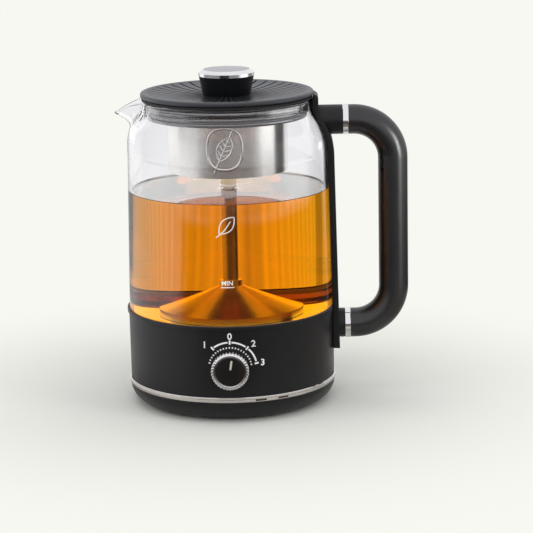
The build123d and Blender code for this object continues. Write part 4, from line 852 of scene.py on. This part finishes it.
class TEAMAKER_OT_dial(bpy.types.Operator):
    """Turn the dial's toothed chrome ring"""

    bl_idname = "teamaker.dial"
    bl_label = "Dial ring"

    def execute(self, context):
        back, face = 65.6, 73.0
        bore, bevel, body = 9.1, 10.0, 10.9
        tooth_foot, tooth_rise, tooth_height = 10.2, 0.5, 0.82
        corners = [
            (bore, back, 0),
            (body, back, 0.3),
            (body, face - 0.8, 0.7),
            (bevel, face - 0.4, 0.4),
            (bore, face - 0.5, 0.25),
        ]
        count = sizes().tooth_count
        ring = turned(rounded(corners, 4), count * 10)
        # The radius grows by the tooth's height times sqrt |cos(n t / 2)|, from the tooth's foot up.
        radius = np.hypot(ring[..., 0], ring[..., 1])
        turn = np.arctan2(ring[..., 1], ring[..., 0])
        tooth = np.sqrt(np.abs(np.cos(count * turn / 2)))
        reach = np.clip((radius - tooth_foot) / tooth_rise, 0, 1)
        ring[..., :2] *= (1 + tooth_height * tooth * reach / radius)[..., None]
        band = [(facing_front(ring, DIAL_Z), True, True)]
        make_piece("dial_chrome", band, "dial", "chrome", replaces=["dial_ring"], crease=50.0)
        return {"FINISHED"}


# The strip up the jug: its back stays clear of the housing, of the housing's collar and of the
# lid. Each of the handle's arms has its height and the distance from the axis where it starts.
STRIP_LOW_Z = 33.2
STRIP_HIGH_Z = 195.2
STRIP_INSET = 0.85
STRIP_THICKNESS = 3.4
STRIP_TIP_THICKNESS = 0.5
STRIP_TOP_ROUND = 3.0
STRIP_HALF_ANGLE = math.radians(9.5)
HOUSING_TOP_Z = 58.6
HOUSING_GAP = 0.15
COLLAR_TOP_Z = 61.7
COLLAR_CLEAR_RADIUS = 66.05
LID_LOW_Z = 192.2
LID_GAP = 0.35
ARM_RADIUS = 9.25
ARM_SOFT_EDGE = 0.4
ARM_OFF_GLASS = 2.4
ARM_END = 71.88
ARMS = ((178.0, 59.0), (47.4, 66.2))


def side_line(outset, height):
    """Meridian of the jug's outside, moved out along its normal: (radius, height) at the heights."""
    line = points(wall_radius(height), height)
    along = unit(np.gradient(line, axis=0))
    return line + np.reshape(outset, (-1, 1)) * points(along[:, 1], -along[:, 0])


def stub(place, start):
    """Round arm along X at a height, with a soft far edge, from inside the strip to its end."""
    near = [(0, start, 0), (ARM_RADIUS, start, 0)]
    far = [(ARM_RADIUS, ARM_END, ARM_SOFT_EDGE), (0, ARM_END, 0)]
    x, y, z = np.moveaxis(turned(rounded(near + far, 4), 64), -1, 0)
    height = x + place
    against = np.sqrt((wall_radius(height) + ARM_OFF_GLASS) ** 2 - y**2)
    return points(np.where(z < start + 0.01, against, z), y, height)


class TEAMAKER_OT_bracket(bpy.types.Operator):
    """Mould the strip up the jug's side that carries the handle's two arms"""

    bl_idname = "teamaker.bracket"
    bl_label = "Handle bracket"

    def execute(self, context):
        height = np.linspace(STRIP_LOW_Z, STRIP_HIGH_Z, 120)
        # The top thins towards its tip almost as a quarter circle: by 1 - sqrt(1 - 0.98 s^2).
        share = np.clip((height - (STRIP_HIGH_Z - STRIP_TOP_ROUND)) / STRIP_TOP_ROUND, 0, 1)
        thinned = 1 - np.sqrt(1 - share**2 * 0.98)
        thickness = STRIP_THICKNESS - (STRIP_THICKNESS - STRIP_TIP_THICKNESS) * thinned
        inner = side_line(STRIP_INSET, height)
        back = inner[:, 0]
        back = np.maximum(back, np.where(height < COLLAR_TOP_Z, COLLAR_CLEAR_RADIUS, 0))
        back = np.where(height < HOUSING_TOP_Z, HOUSING_RADIUS + HOUSING_GAP, back)
        back = np.where(height > LID_LOW_Z, np.maximum(back, LID_RADIUS + LID_GAP), back)
        front = side_line(STRIP_INSET + thickness, height)[:, 0]
        section = rounded([(-1, 0, 0), (1, 0, 0), (1, 1, 0.09), (-1, 1, 0.09)], 5)
        depth = section[:, 1]
        radius = back[:, None] * (1 - depth) + front[:, None] * depth
        strip = around(radius, STRIP_HALF_ANGLE * section[:, 0], height[:, None])
        forms = [with_ends(strip)] + [stub(place, start) for place, start in ARMS]
        surfaces = [(form, False, True) for form in forms]
        replaced = ["handle_bracket"]
        make_piece("bracket_strip", surfaces, "kettle", "black_plastic", replaces=replaced, crease=40.0)
        return {"FINISHED"}


class TEAMAKER_OT_seat_ring(bpy.types.Operator):
    """Turn the stepped steel ring in the jug's neck, with its rounded beads and its deep groove"""

    bl_idname = "teamaker.seat_ring"
    bl_label = "Seat ring"

    def execute(self, context):
        bore = 47.7
        low_bead, middle_bead, top_bead = 49.7, 50.7, 51.0
        groove, waist = 48.3, 50.0
        corners = [
            (bore - 0.1, 180.8, 0.2),
            (low_bead, 180.8, 0.6),
            (low_bead, 183.1, 0.5),
            (groove, 183.4, 0.2),
            (groove, 184.0, 0.2),
            (middle_bead, 184.4, 0.5),
            (middle_bead, 186.4, 0.4),
            (waist, 186.7, 0.2),
            (waist, 187.3, 0.2),
            (top_bead, 187.7, 0.4),
            (top_bead, 190.7, 0.8),
            (bore, 190.7, 0.2),
            (bore, 182.2, 0.2),
        ]
        ring = [(turned(rounded(corners, 4), 240), True, True)]
        make_piece("neck_ring", ring, "basket", "steel", "ring_steel", ["seat_ring"], 50.0)
        return {"FINISHED"}


# The emblem's plate on the strainer, its oval frame and its leaf, whose turn is in radians. A
# line that is nowhere near leaves no ridge.
PLATE_HALF_WIDTH = 12.5
PLATE_HALF_HEIGHT = 14.5
PLATE_RADIUS = 37.6
PLATE_PLACE = (-1.2, 166.0)
PLATE_DEPTH = 0.4
RELIEF_FOOT = 0.06
OVAL_HALF_WIDTH = 10.7
OVAL_HALF_HEIGHT = 12.6
OVAL_MEAN_RADIUS = 11.5
OVAL_POWER = 2.6
LEAF_TURN = 0.42
LEAF_LENGTH = 16.0
LEAF_HALF_WIDTH = 4.4
LEAF_FULLNESS = 0.8
LEAF_VEINS = 5
VEIN_SLANT = 0.22
STEM_REACH = 0.66
NOWHERE = 9


class TEAMAKER_OT_emblem(bpy.types.Operator):
    """Emboss a plain leaf in an oval frame on the strainer"""

    bl_idname = "teamaker.emblem"
    bl_label = "Strainer emblem"

    def execute(self, context):
        columns = np.linspace(-PLATE_HALF_WIDTH, PLATE_HALF_WIDTH, 170)
        rows = np.linspace(-PLATE_HALF_HEIGHT, PLATE_HALF_HEIGHT, 190)
        across, up = np.meshgrid(columns, rows)
        # The frame runs where (x / a)^p + (y / b)^p is 1; the distance from it is scaled to its size.
        oval = (np.abs(across) / OVAL_HALF_WIDTH) ** OVAL_POWER
        oval = oval + (np.abs(up) / OVAL_HALF_HEIGHT) ** OVAL_POWER
        frame_line = OVAL_MEAN_RADIUS * oval ** (1 / OVAL_POWER) - OVAL_MEAN_RADIUS
        # The leaf's half width goes as a power of sin(pi u), and its veins slant off the stem.
        along = (up * math.cos(LEAF_TURN) + across * math.sin(LEAF_TURN)) / LEAF_LENGTH
        aside = across * math.cos(LEAF_TURN) - up * math.sin(LEAF_TURN)
        to_tip = np.clip(0.5 - np.abs(along), 0, 0.5)
        edge_line = np.abs(aside) - LEAF_HALF_WIDTH * np.sin(math.pi * to_tip) ** LEAF_FULLNESS
        stem_line = np.where(np.abs(along) < STEM_REACH, aside, NOWHERE)
        vein_place = np.mod(along * LEAF_VEINS - np.abs(aside) * VEIN_SLANT, 1)
        vein_line = np.abs(vein_place - 0.5) * (LEAF_LENGTH / LEAF_VEINS)
        vein_line = np.where(edge_line < -0.6, vein_line, NOWHERE)
        relief = -RELIEF_FOOT + 0 * across
        # Each line is a round ridge with its own half width and height.
        ridges = [(frame_line, 0.75, 0.3), (edge_line, 0.6, 0.3)]
        ridges += [(stem_line, 0.5, 0.25), (vein_line, 0.45, 0.2)]
        for line, half, raised in ridges:
            bead = raised * np.sqrt(np.clip(1 - (line / half) ** 2, 0, 1))
            relief = np.maximum(relief, bead - RELIEF_FOOT)
        rim = (np.abs(across) > PLATE_HALF_WIDTH - 0.1) | (np.abs(up) > PLATE_HALF_HEIGHT - 0.1)
        relief = np.where(rim, -PLATE_DEPTH, relief)
        place = (across + PLATE_PLACE[0], up + PLATE_PLACE[1])
        sides = [on_cylinder(points(*place, out), PLATE_RADIUS) for out in (relief, -PLATE_DEPTH)]
        plate = [(side, False, False) for side in sides]
        make_piece("strainer_emblem", plate, "basket", "steel", "strainer_steel", crease=60.0)
        return {"FINISHED"}


# The printed scale lies half in and half on the housing. Its ticks are in degrees from the top,
# and its numbers have their places across and above the table.
PRINT_RELIEF = 0.05
SCALE_CENTRE = (0.0, DIAL_Z)
SCALE_RADIUS = 16.6
SCALE_TICKS = (-40, 0, 40, 80)
TICK_SPAN = (15.3, 17.9)
DASH_SPAN = (12.75, 13.75)
DASH_TURNS = np.linspace(-74, 80, 20)
NUMERALS = {"1": (-15.6, 50.2), "0": (0, 55.6), "2": (14.6, 50.6), "3": (20.2, 38.4)}


def dash(start, end, turn):
    """Straight path between two distances from the dial's middle, at an angle in degrees."""
    return np.concatenate([arc(reach, turn, turn, 1, SCALE_CENTRE) for reach in (start, end)])


def scale_marks():
    """Strips of the printed scale: arcs between ticks, ticks, and a ring of short dashes."""
    spans = zip(SCALE_TICKS, SCALE_TICKS[1:])
    marks = [(arc(SCALE_RADIUS, start + 4.0, end - 4.6, 16, SCALE_CENTRE), 1.05) for start, end in spans]
    marks += [(dash(*TICK_SPAN, tick), 1.1) for tick in SCALE_TICKS]
    marks += [(dash(*DASH_SPAN, turn), 0.75) for turn in DASH_TURNS]
    return [ribbon(path, width, -PRINT_RELIEF, PRINT_RELIEF) for path, width in marks]


class TEAMAKER_OT_scale(bpy.types.Operator):
    """Print the dial's scale and its numbers on the housing"""

    bl_idname = "teamaker.scale"
    bl_label = "Dial scale"

    def execute(self, context):
        height = sizes().numeral_height / MM
        strips = [(on_cylinder(strip, HOUSING_RADIUS), False, True) for strip in scale_marks()]
        numbers = []
        for text, place in NUMERALS.items():
            letters, loops = lettering(text, height, place, -PRINT_RELIEF, PRINT_RELIEF)
            numbers.append((on_cylinder(letters, HOUSING_RADIUS), loops))
        make_piece("scale_print", strips, "kettle", "cream_paint", "print_paint", extra=numbers)
        return {"FINISHED"}


# Shares of a leaf's length: how far its midrib bows, and where the midrib starts and ends.
STEM_BOW = 0.06
STEM_SPAN = (-0.72, 0.25)


def leaf(centre, length, width, angle):
    """Outline and midrib of a plain leaf, turned by an angle in degrees.

    Its half width goes as a power of sin(pi u), and its midrib bows as sin(pi u).
    """
    share = np.linspace(0, 1, 25)
    half = width / 2 * np.sin(math.pi * share) ** LEAF_FULLNESS
    along = length * (share - 0.5)
    edge = np.concatenate([np.c_[half, along], np.c_[-half, along][-2:0:-1]])
    bow = STEM_BOW * length * np.sin(math.pi * np.linspace(0, 1, 12))
    stem = np.c_[bow, np.linspace(*STEM_SPAN, 12) * length]
    cosine, sine = math.cos(math.radians(angle)), math.sin(math.radians(angle))
    turn = np.array([[cosine, sine], [-sine, cosine]])
    return edge @ turn.T + centre, stem @ turn.T + centre


# The printed marks on the glass stand off it by their thickness.
MARK_THICKNESS = 0.06
MARK_WIDTH = 0.6
MARK_LEAF = {"centre": (-0.3, 124.0), "length": 13.5, "width": 7.5, "angle": 42}
FILL_LINE_Z = 85.9
FILL_LINE_FROM = -4.6
FILL_LINE_TO = 3.6
FILL_LINE_WIDTH = 0.5
FILL_TEXT_HEIGHT = 2.9
FILL_TEXT_PLACE = (-0.6, FILL_LINE_Z + 2.7)


class TEAMAKER_OT_glass_marks(bpy.types.Operator):
    """Print a plain leaf and the lowest fill mark on the glass"""

    bl_idname = "teamaker.glass_marks"
    bl_label = "Marks on the glass"

    def execute(self, context):
        wall = (FOOT_RADIUS, math.tan(WALL_LEAN), FOOT_Z)
        outline, stem = leaf(**MARK_LEAF)
        fill_line = points(np.array([FILL_LINE_FROM, 0.0, FILL_LINE_TO]), FILL_LINE_Z)
        paths = ((outline, MARK_WIDTH, True), (stem, MARK_WIDTH, False), (fill_line, FILL_LINE_WIDTH, False))
        strips = []
        for path, width, closed in paths:
            strip = ribbon(path, width, 0.0, MARK_THICKNESS, closed)
            strips.append((on_cylinder(strip, *wall), closed, True))
        letters, loops = lettering("MIN", FILL_TEXT_HEIGHT, FILL_TEXT_PLACE, 0.0, MARK_THICKNESS)
        words = [(on_cylinder(letters, *wall), loops)]
        make_piece("glass_print", strips, "kettle", "cream_paint", "print_paint", extra=words)
        return {"FINISHED"}


# ---- stage and camera

# Softboxes: place and size in metres, turn in degrees and power in watts.
LAMPS = {
    "softbox_above": ((0.1, 0.0, 1.5), (1.7, 1.7), (0, 0, 0), 9.0),
    "softbox_left": ((-1.1, -0.35, 0.55), (0.5, 1.1), (78, 0, -72), 3.0),
    "softbox_right": ((0.95, -0.6, 0.6), (0.35, 0.9), (75, 0, 58), 2.5),
    "low_strip": ((0.76, -0.46, 0.25), (0.22, 0.38), (90, 0, 59), 3.6),
    "front_fill": ((0.0, -1.7, 1.0), (1.2, 0.8), (62, 0, 0), 6.0),
}
# The lamp whose own reflection shows, and the one piece that it lights.
STREAK_LAMP = "low_strip"
STREAK_PIECE = "handle_grip"

FLOOR_SIZE = (8, 8)
BACK_LIGHT_SIZE = (3.0, 0.8)
BACK_LIGHT_PLACE = (0, 1.3, 0.5)
# The floor is matte up to the first distance and plain backdrop from the second, in metres.
FLOOR_FADE = (0.09, 0.3)
ROOM_STRENGTH = 0.45
BACK_LIGHT_STRENGTH = 1.8

# Patches of the stage that only reflections or only glass see: from and to in degrees round the
# axis, 0 in front and 90 towards the handle, from and to in metres, colour, softness in degrees.
FRONT_PATCHES = (
    (-48, 62, 0.84, 1.24, (0.32, 0.276, 0.25), 44),
    (66, 98, 0.84, 3.6, (1.25, 1.25, 1.26), 8),
    (-160, -70, 0.84, 3.6, (1.12, 1.12, 1.12), 30),
    (103, 136, 0.3, 3.6, (0.17, 0.17, 0.17), 4),
    (-104, 58, 1.25, 2.4, (0.3, 0.3, 0.31), 16),
    (-58, 42, 1.17, 1.46, (0.006, 0.006, 0.008), 10),
    (-26, 12, 1.4, 2.1, (0.004, 0.004, 0.006), 5),
    (60, 120, 1.24, 1.42, (2.6, 2.6, 2.6), 10),
    (-58, 140, 0.3, 0.84, (0.04, 0.035, 0.03), 26),
    (-40, 120, 0.13, 0.3, (0.42, 0.37, 0.32), 20),
    (-26, 26, 0.13, 0.3, (0.06, 0.045, 0.035), 26),
    (-22, 22, 0.3, 0.84, (0.09, 0.07, 0.055), 24),
    (-120, 120, 0.07, 0.12, (0.1, 0.08, 0.06), 20),
)
EDGE_PATCHES = ((136, 224, 0.3, 3.6, (0.5, 0.5, 0.51), 24),)
BACK_PATCHES = (
    (80, 280, 0.03, 0.6, (1.06, 1.06, 1.06), 10),
    (110, 178, 0.03, 0.6, (0.88, 0.88, 0.88), 10),
    (110, 152, 0.03, 0.6, (0.72, 0.72, 0.72), 16),
    (184.5, 189.5, 0.03, 0.6, (0.8, 0.8, 0.8), 2),
    (218, 228, 0.03, 0.6, (0.55, 0.55, 0.55), 4),
    (-200, 200, -0.1, 0.11, (0.3, 0.26, 0.24), 4),
)
# Discs of patches: the patches, the place of the middle, the rings' nearest and farthest distance
# in metres, the ripple, and the kinds of ray that don't see it.
DISCS = {
    "front_patches": (FRONT_PATCHES, (0, 0, 0.0008), (0.07, 3.9), 0.0, ()),
    "back_patches": (BACK_PATCHES, (0, 0.105, 0.0006), (0.001, 0.75), 0.09, ("glossy",)),
    "edge_patches": (EDGE_PATCHES, (0, 0, 0.001), (0.07, 3.9), 0.0, ("transmission",)),
}
DISC_RINGS = 150
DISC_COLUMNS = 720
BARE_SHADE = 0.9
NEAR_SOFTNESS = 0.03
FAR_SOFTNESS = 0.06


def add_stage_mesh(name, corners, faces, material):
    """A mesh that belongs to the stage, with its one material."""
    mesh = bpy.data.meshes.new(name)
    mesh.from_pydata(corners, [], faces)
    mesh.materials.append(material)
    card = bpy.data.objects.new(name, mesh)
    bpy.context.scene.collection.objects.link(card)
    return card


def add_card(name, size, material):
    """A flat card that belongs to the stage."""
    corners = np.array([(-1, -1, 0), (1, -1, 0), (1, 1, 0), (-1, 1, 0)]) * (*np.divide(size, 2), 0)
    return add_stage_mesh(name, corners, [(0, 1, 2, 3)], material)


def add_lamp(name, place, size, turn, power):
    """A rectangular softbox that lights without showing."""
    light = bpy.data.lights.new(name, "AREA")
    light.shape = "RECTANGLE"
    light.size, light.size_y = size
    light.energy = power
    lamp = bpy.data.objects.new(name, light)
    lamp.location = place
    lamp.rotation_euler = np.radians(turn)
    hide_from(lamp, "glossy", "transmission")
    bpy.context.scene.collection.objects.link(lamp)
    return lamp


def only_light(lamp, pieces):
    """Keeps a lamp's light to the given pieces."""
    lit = bpy.data.collections.new(lamp.name + "_lit")
    for piece in pieces:
        lit.objects.link(piece)
    lamp.light_linking.receiver_collection = lit


def patch_cover(patches, degrees, reach):
    """Colour and cover at each direction and distance: each patch is laid over those before it."""
    shape = np.broadcast_shapes(degrees.shape, reach.shape)
    colour = np.zeros((*shape, 3)) + BARE_SHADE
    cover = np.zeros(shape)
    for start, end, near, far, shade, soft in patches:
        middle, half = (start + end) / 2, (end - start) / 2
        off = np.abs((degrees - middle + 180) % 360 - 180)
        patch = 1 - ease(off, half - soft / 2, half + soft / 2)
        patch = patch * ease(reach, near - NEAR_SOFTNESS, near + NEAR_SOFTNESS)
        patch = patch * (1 - ease(reach, far - FAR_SOFTNESS, far + FAR_SOFTNESS))
        colour = colour * (1 - patch[..., None]) + np.array(shade) * patch[..., None]
        cover = 1 - (1 - cover) * (1 - patch)
    return colour, cover


def add_patches(name, patches, place, span, ripple, unseen_by):
    """Flat disc just above the floor whose colour and cover come from soft-edged patches.

    Its rings crowd towards the middle: the distance grows as the square along the rows. The
    ripple is the share by which fine rays over the disc change its brightness.
    """
    reach = span[0] + (span[1] - span[0]) * np.linspace(0, 1, DISC_RINGS)[:, None] ** 2
    degrees = np.linspace(0, 360, DISC_COLUMNS, endpoint=False)[None, :]
    turn = np.radians(degrees)
    disc = points(reach * np.sin(turn), -reach * np.cos(turn), 0.0) + place
    colour, cover = patch_cover(patches, degrees, reach)
    # Two fine waves round the disc, each pushed to and fro by a slow one.
    wave = np.sin(turn * 118 + 2 * np.sin(turn * 9)) + 0.6 * np.sin(turn * 205 + 3 * np.sin(turn * 5))
    colour *= 1 + ripple * wave[..., None]
    faces = grid_faces(DISC_RINGS, DISC_COLUMNS, False, True, 0).tolist()
    card = add_stage_mesh(name, disc.reshape(-1, 3), faces, patch_finish(name))
    layer = card.data.color_attributes.new("patches", "FLOAT_COLOR", "POINT")
    values = np.concatenate([colour, cover[..., None]], axis=-1)
    layer.data.foreach_set("color", values.astype(np.float32).ravel())
    hide_from(card, "camera", "diffuse", "shadow", *unseen_by)


def bare_material(name):
    """A node material without a shader, and its tree."""
    material = bpy.data.materials.new(name)
    material.use_nodes = True
    tree = material.node_tree
    tree.nodes.remove(tree.nodes["Principled BSDF"])
    return material, tree


def show_mix(tree, share, first, second):
    """Leads a mix of two shaders to the surface, by the second one's share."""
    mix = add_node(tree, "MixShader", {"Fac": share, 1: first, 2: second})
    tree.links.new(mix.outputs["Shader"], tree.nodes["Material Output"].inputs["Surface"])


def patch_finish(name):
    """Glow of the patch's own colour, clear where nothing covers the floor."""
    material, tree = bare_material(name)
    patches = add_node(tree, "VertexColor", layer_name="patches")
    glow = add_node(tree, "Emission", {"Color": patches.outputs["Color"]})
    clear = add_node(tree, "BsdfTransparent")
    show_mix(tree, patches.outputs["Alpha"], clear.outputs["BSDF"], glow.outputs["Emission"])
    return material


def seen_share(tree):
    """1 for rays from the camera, off metal and through glass, and 0 for the others."""
    path = add_node(tree, "LightPath")
    total = path.outputs["Is Camera Ray"]
    for output in ("Is Glossy Ray", "Is Transmission Ray"):
        either = add_node(tree, "Math", {0: total, 1: path.outputs[output]}, operation="MAXIMUM")
        total = either.outputs[0]
    return total


def camera_or_room(tree, pale, room):
    """The backdrop's colour for the camera and the room's for every other ray."""
    seen = add_node(tree, "LightPath").outputs["Is Camera Ray"]
    choice = add_node(tree, "Mix", {"Factor": seen, "A": room, "B": pale}, data_type="RGBA")
    return choice.outputs["Result"]


def floor_finish(pale, room):
    """Matte floor that keeps the shadow near the tea maker and turns into the plain backdrop."""
    material, tree = bare_material("pale_floor")
    matte = add_node(tree, "BsdfDiffuse", {"Color": pale})
    glow = add_node(tree, "Emission", {"Color": camera_or_room(tree, pale, room)})
    place = add_node(tree, "TexCoord").outputs["Object"]
    distance = add_node(tree, "VectorMath", {0: place}, operation="LENGTH").outputs["Value"]
    start, end = FLOOR_FADE
    fade = {"Value": distance, "From Min": start, "From Max": end}
    away = add_node(tree, "MapRange", fade, interpolation_type="SMOOTHSTEP").outputs["Result"]
    share = add_node(tree, "Math", {0: away, 1: seen_share(tree)}, operation="MULTIPLY").outputs[0]
    show_mix(tree, share, matte.outputs["BSDF"], glow.outputs["Emission"])
    return material


def set_world(scene, pale, room):
    """Pale surroundings: full strength where they are seen, less as light."""
    world = bpy.data.worlds.new("pale_room")
    world.use_nodes = True
    tree = world.node_tree
    background = tree.nodes["Background"]
    tree.links.new(camera_or_room(tree, pale, room), background.inputs["Color"])
    strength = add_node(tree, "MapRange", {"Value": seen_share(tree), "To Min": ROOM_STRENGTH, "To Max": 1.0})
    tree.links.new(strength.outputs["Result"], background.inputs["Strength"])
    scene.world = world


def add_back_light():
    """Bright upright card behind the tea maker that only shows through the glass and the tea."""
    sockets = {"Base_Color": BLACK, "Emission_Color": WHITE, "Emission_Strength": BACK_LIGHT_STRENGTH}
    card = add_card("back_light", BACK_LIGHT_SIZE, new_finish("back_light", **sockets))
    card.location = BACK_LIGHT_PLACE
    card.rotation_euler = (math.radians(90), 0, 0)
    hide_from(card, "camera", "diffuse", "glossy", "shadow")


class TEAMAKER_OT_stage(bpy.types.Operator):
    """Lay the pale floor and set the soft lamps round the tea maker"""

    bl_idname = "teamaker.stage"
    bl_label = "Stage"

    def execute(self, context):
        pale = (*colours().backdrop, 1)
        room = (*colours().room, 1)
        add_card("floor", FLOOR_SIZE, floor_finish(pale, room))
        set_world(context.scene, pale, room)
        lamps = {name: add_lamp(name, *values) for name, values in LAMPS.items()}
        lamps[STREAK_LAMP].visible_glossy = True
        only_light(lamps[STREAK_LAMP], [frame["nodes"][STREAK_PIECE]])
        for name, values in DISCS.items():
            add_patches(name, *values)
        add_back_light()
        return {"FINISHED"}


# The camera's place in metres and its turns in radians, before the whole view swings round Z.
CAMERA_DISTANCE = 1.4
CAMERA_HEIGHT = 0.39347
CAMERA_ROLL = -0.0190079
CAMERA_PAN = 0.0162402
CAMERA_TILT = 0.2172816
CAMERA_SWING = math.radians(1.45)
CAMERA_LENS = 152.76


class TEAMAKER_OT_camera(bpy.types.Operator):
    """Set the camera at the product view, a little above the tea maker"""

    bl_idname = "teamaker.camera"
    bl_label = "Camera"

    def execute(self, context):
        turns = ((-CAMERA_PAN, "Z"), (math.pi / 2 - CAMERA_TILT, "X"), (CAMERA_ROLL, "Z"))
        view = Matrix.Translation((0.0, -CAMERA_DISTANCE, CAMERA_HEIGHT))
        for angle, axis in turns:
            view = view @ Matrix.Rotation(angle, 4, axis)
        data = bpy.data.cameras.new("product_view")
        data.sensor_width = 36.0
        data.lens = CAMERA_LENS
        data.clip_end = 100.0
        camera = bpy.data.objects.new("product_view", data)
        camera.matrix_world = Matrix.Rotation(CAMERA_SWING, 4, "Z") @ view
        context.scene.collection.objects.link(camera)
        context.scene.camera = camera
        context.scene.view_settings.view_transform = "Standard"
        return {"FINISHED"}


# ---- add-on

OPERATORS = (
    TEAMAKER_OT_finishes,
    TEAMAKER_OT_jug,
    TEAMAKER_OT_tea,
    TEAMAKER_OT_lid,
    TEAMAKER_OT_dial,
    TEAMAKER_OT_bracket,
    TEAMAKER_OT_seat_ring,
    TEAMAKER_OT_emblem,
    TEAMAKER_OT_scale,
    TEAMAKER_OT_glass_marks,
    TEAMAKER_OT_stage,
    TEAMAKER_OT_camera,
)


class TEAMAKER_PT_pieces(bpy.types.Panel):
    """Sizes, colours and pieces of the tea maker"""

    bl_idname = "TEAMAKER_PT_pieces"
    bl_label = "Tea maker"
    bl_space_type = "VIEW_3D"
    bl_region_type = "UI"
    bl_category = "Tea maker"

    def draw(self, context):
        for group in (sizes(), colours()):
            box = self.layout.box()
            for name in type(group).__annotations__:
                box.prop(group, name)
        for operator in OPERATORS:
            self.layout.operator(operator.bl_idname)


CLASSES = (TeaMakerSizes, TeaMakerColours, *OPERATORS, TEAMAKER_PT_pieces)


def register():
    """Adds the classes and the two groups of settings."""
    for entry in CLASSES:
        bpy.utils.register_class(entry)
    bpy.types.Scene.tea_maker_sizes = bpy.props.PointerProperty(type=TeaMakerSizes)
    bpy.types.Scene.tea_maker_colours = bpy.props.PointerProperty(type=TeaMakerColours)


def unregister():
    """Removes what register() added."""
    del bpy.types.Scene.tea_maker_colours
    del bpy.types.Scene.tea_maker_sizes
    for entry in reversed(CLASSES):
        bpy.utils.unregister_class(entry)


def main():
    """Builds every piece in order."""
    register()
    for operator in OPERATORS:
        group, name = operator.bl_idname.split(".")
        getattr(getattr(bpy.ops, group), name)()


if __name__ == "__main__":
    main()
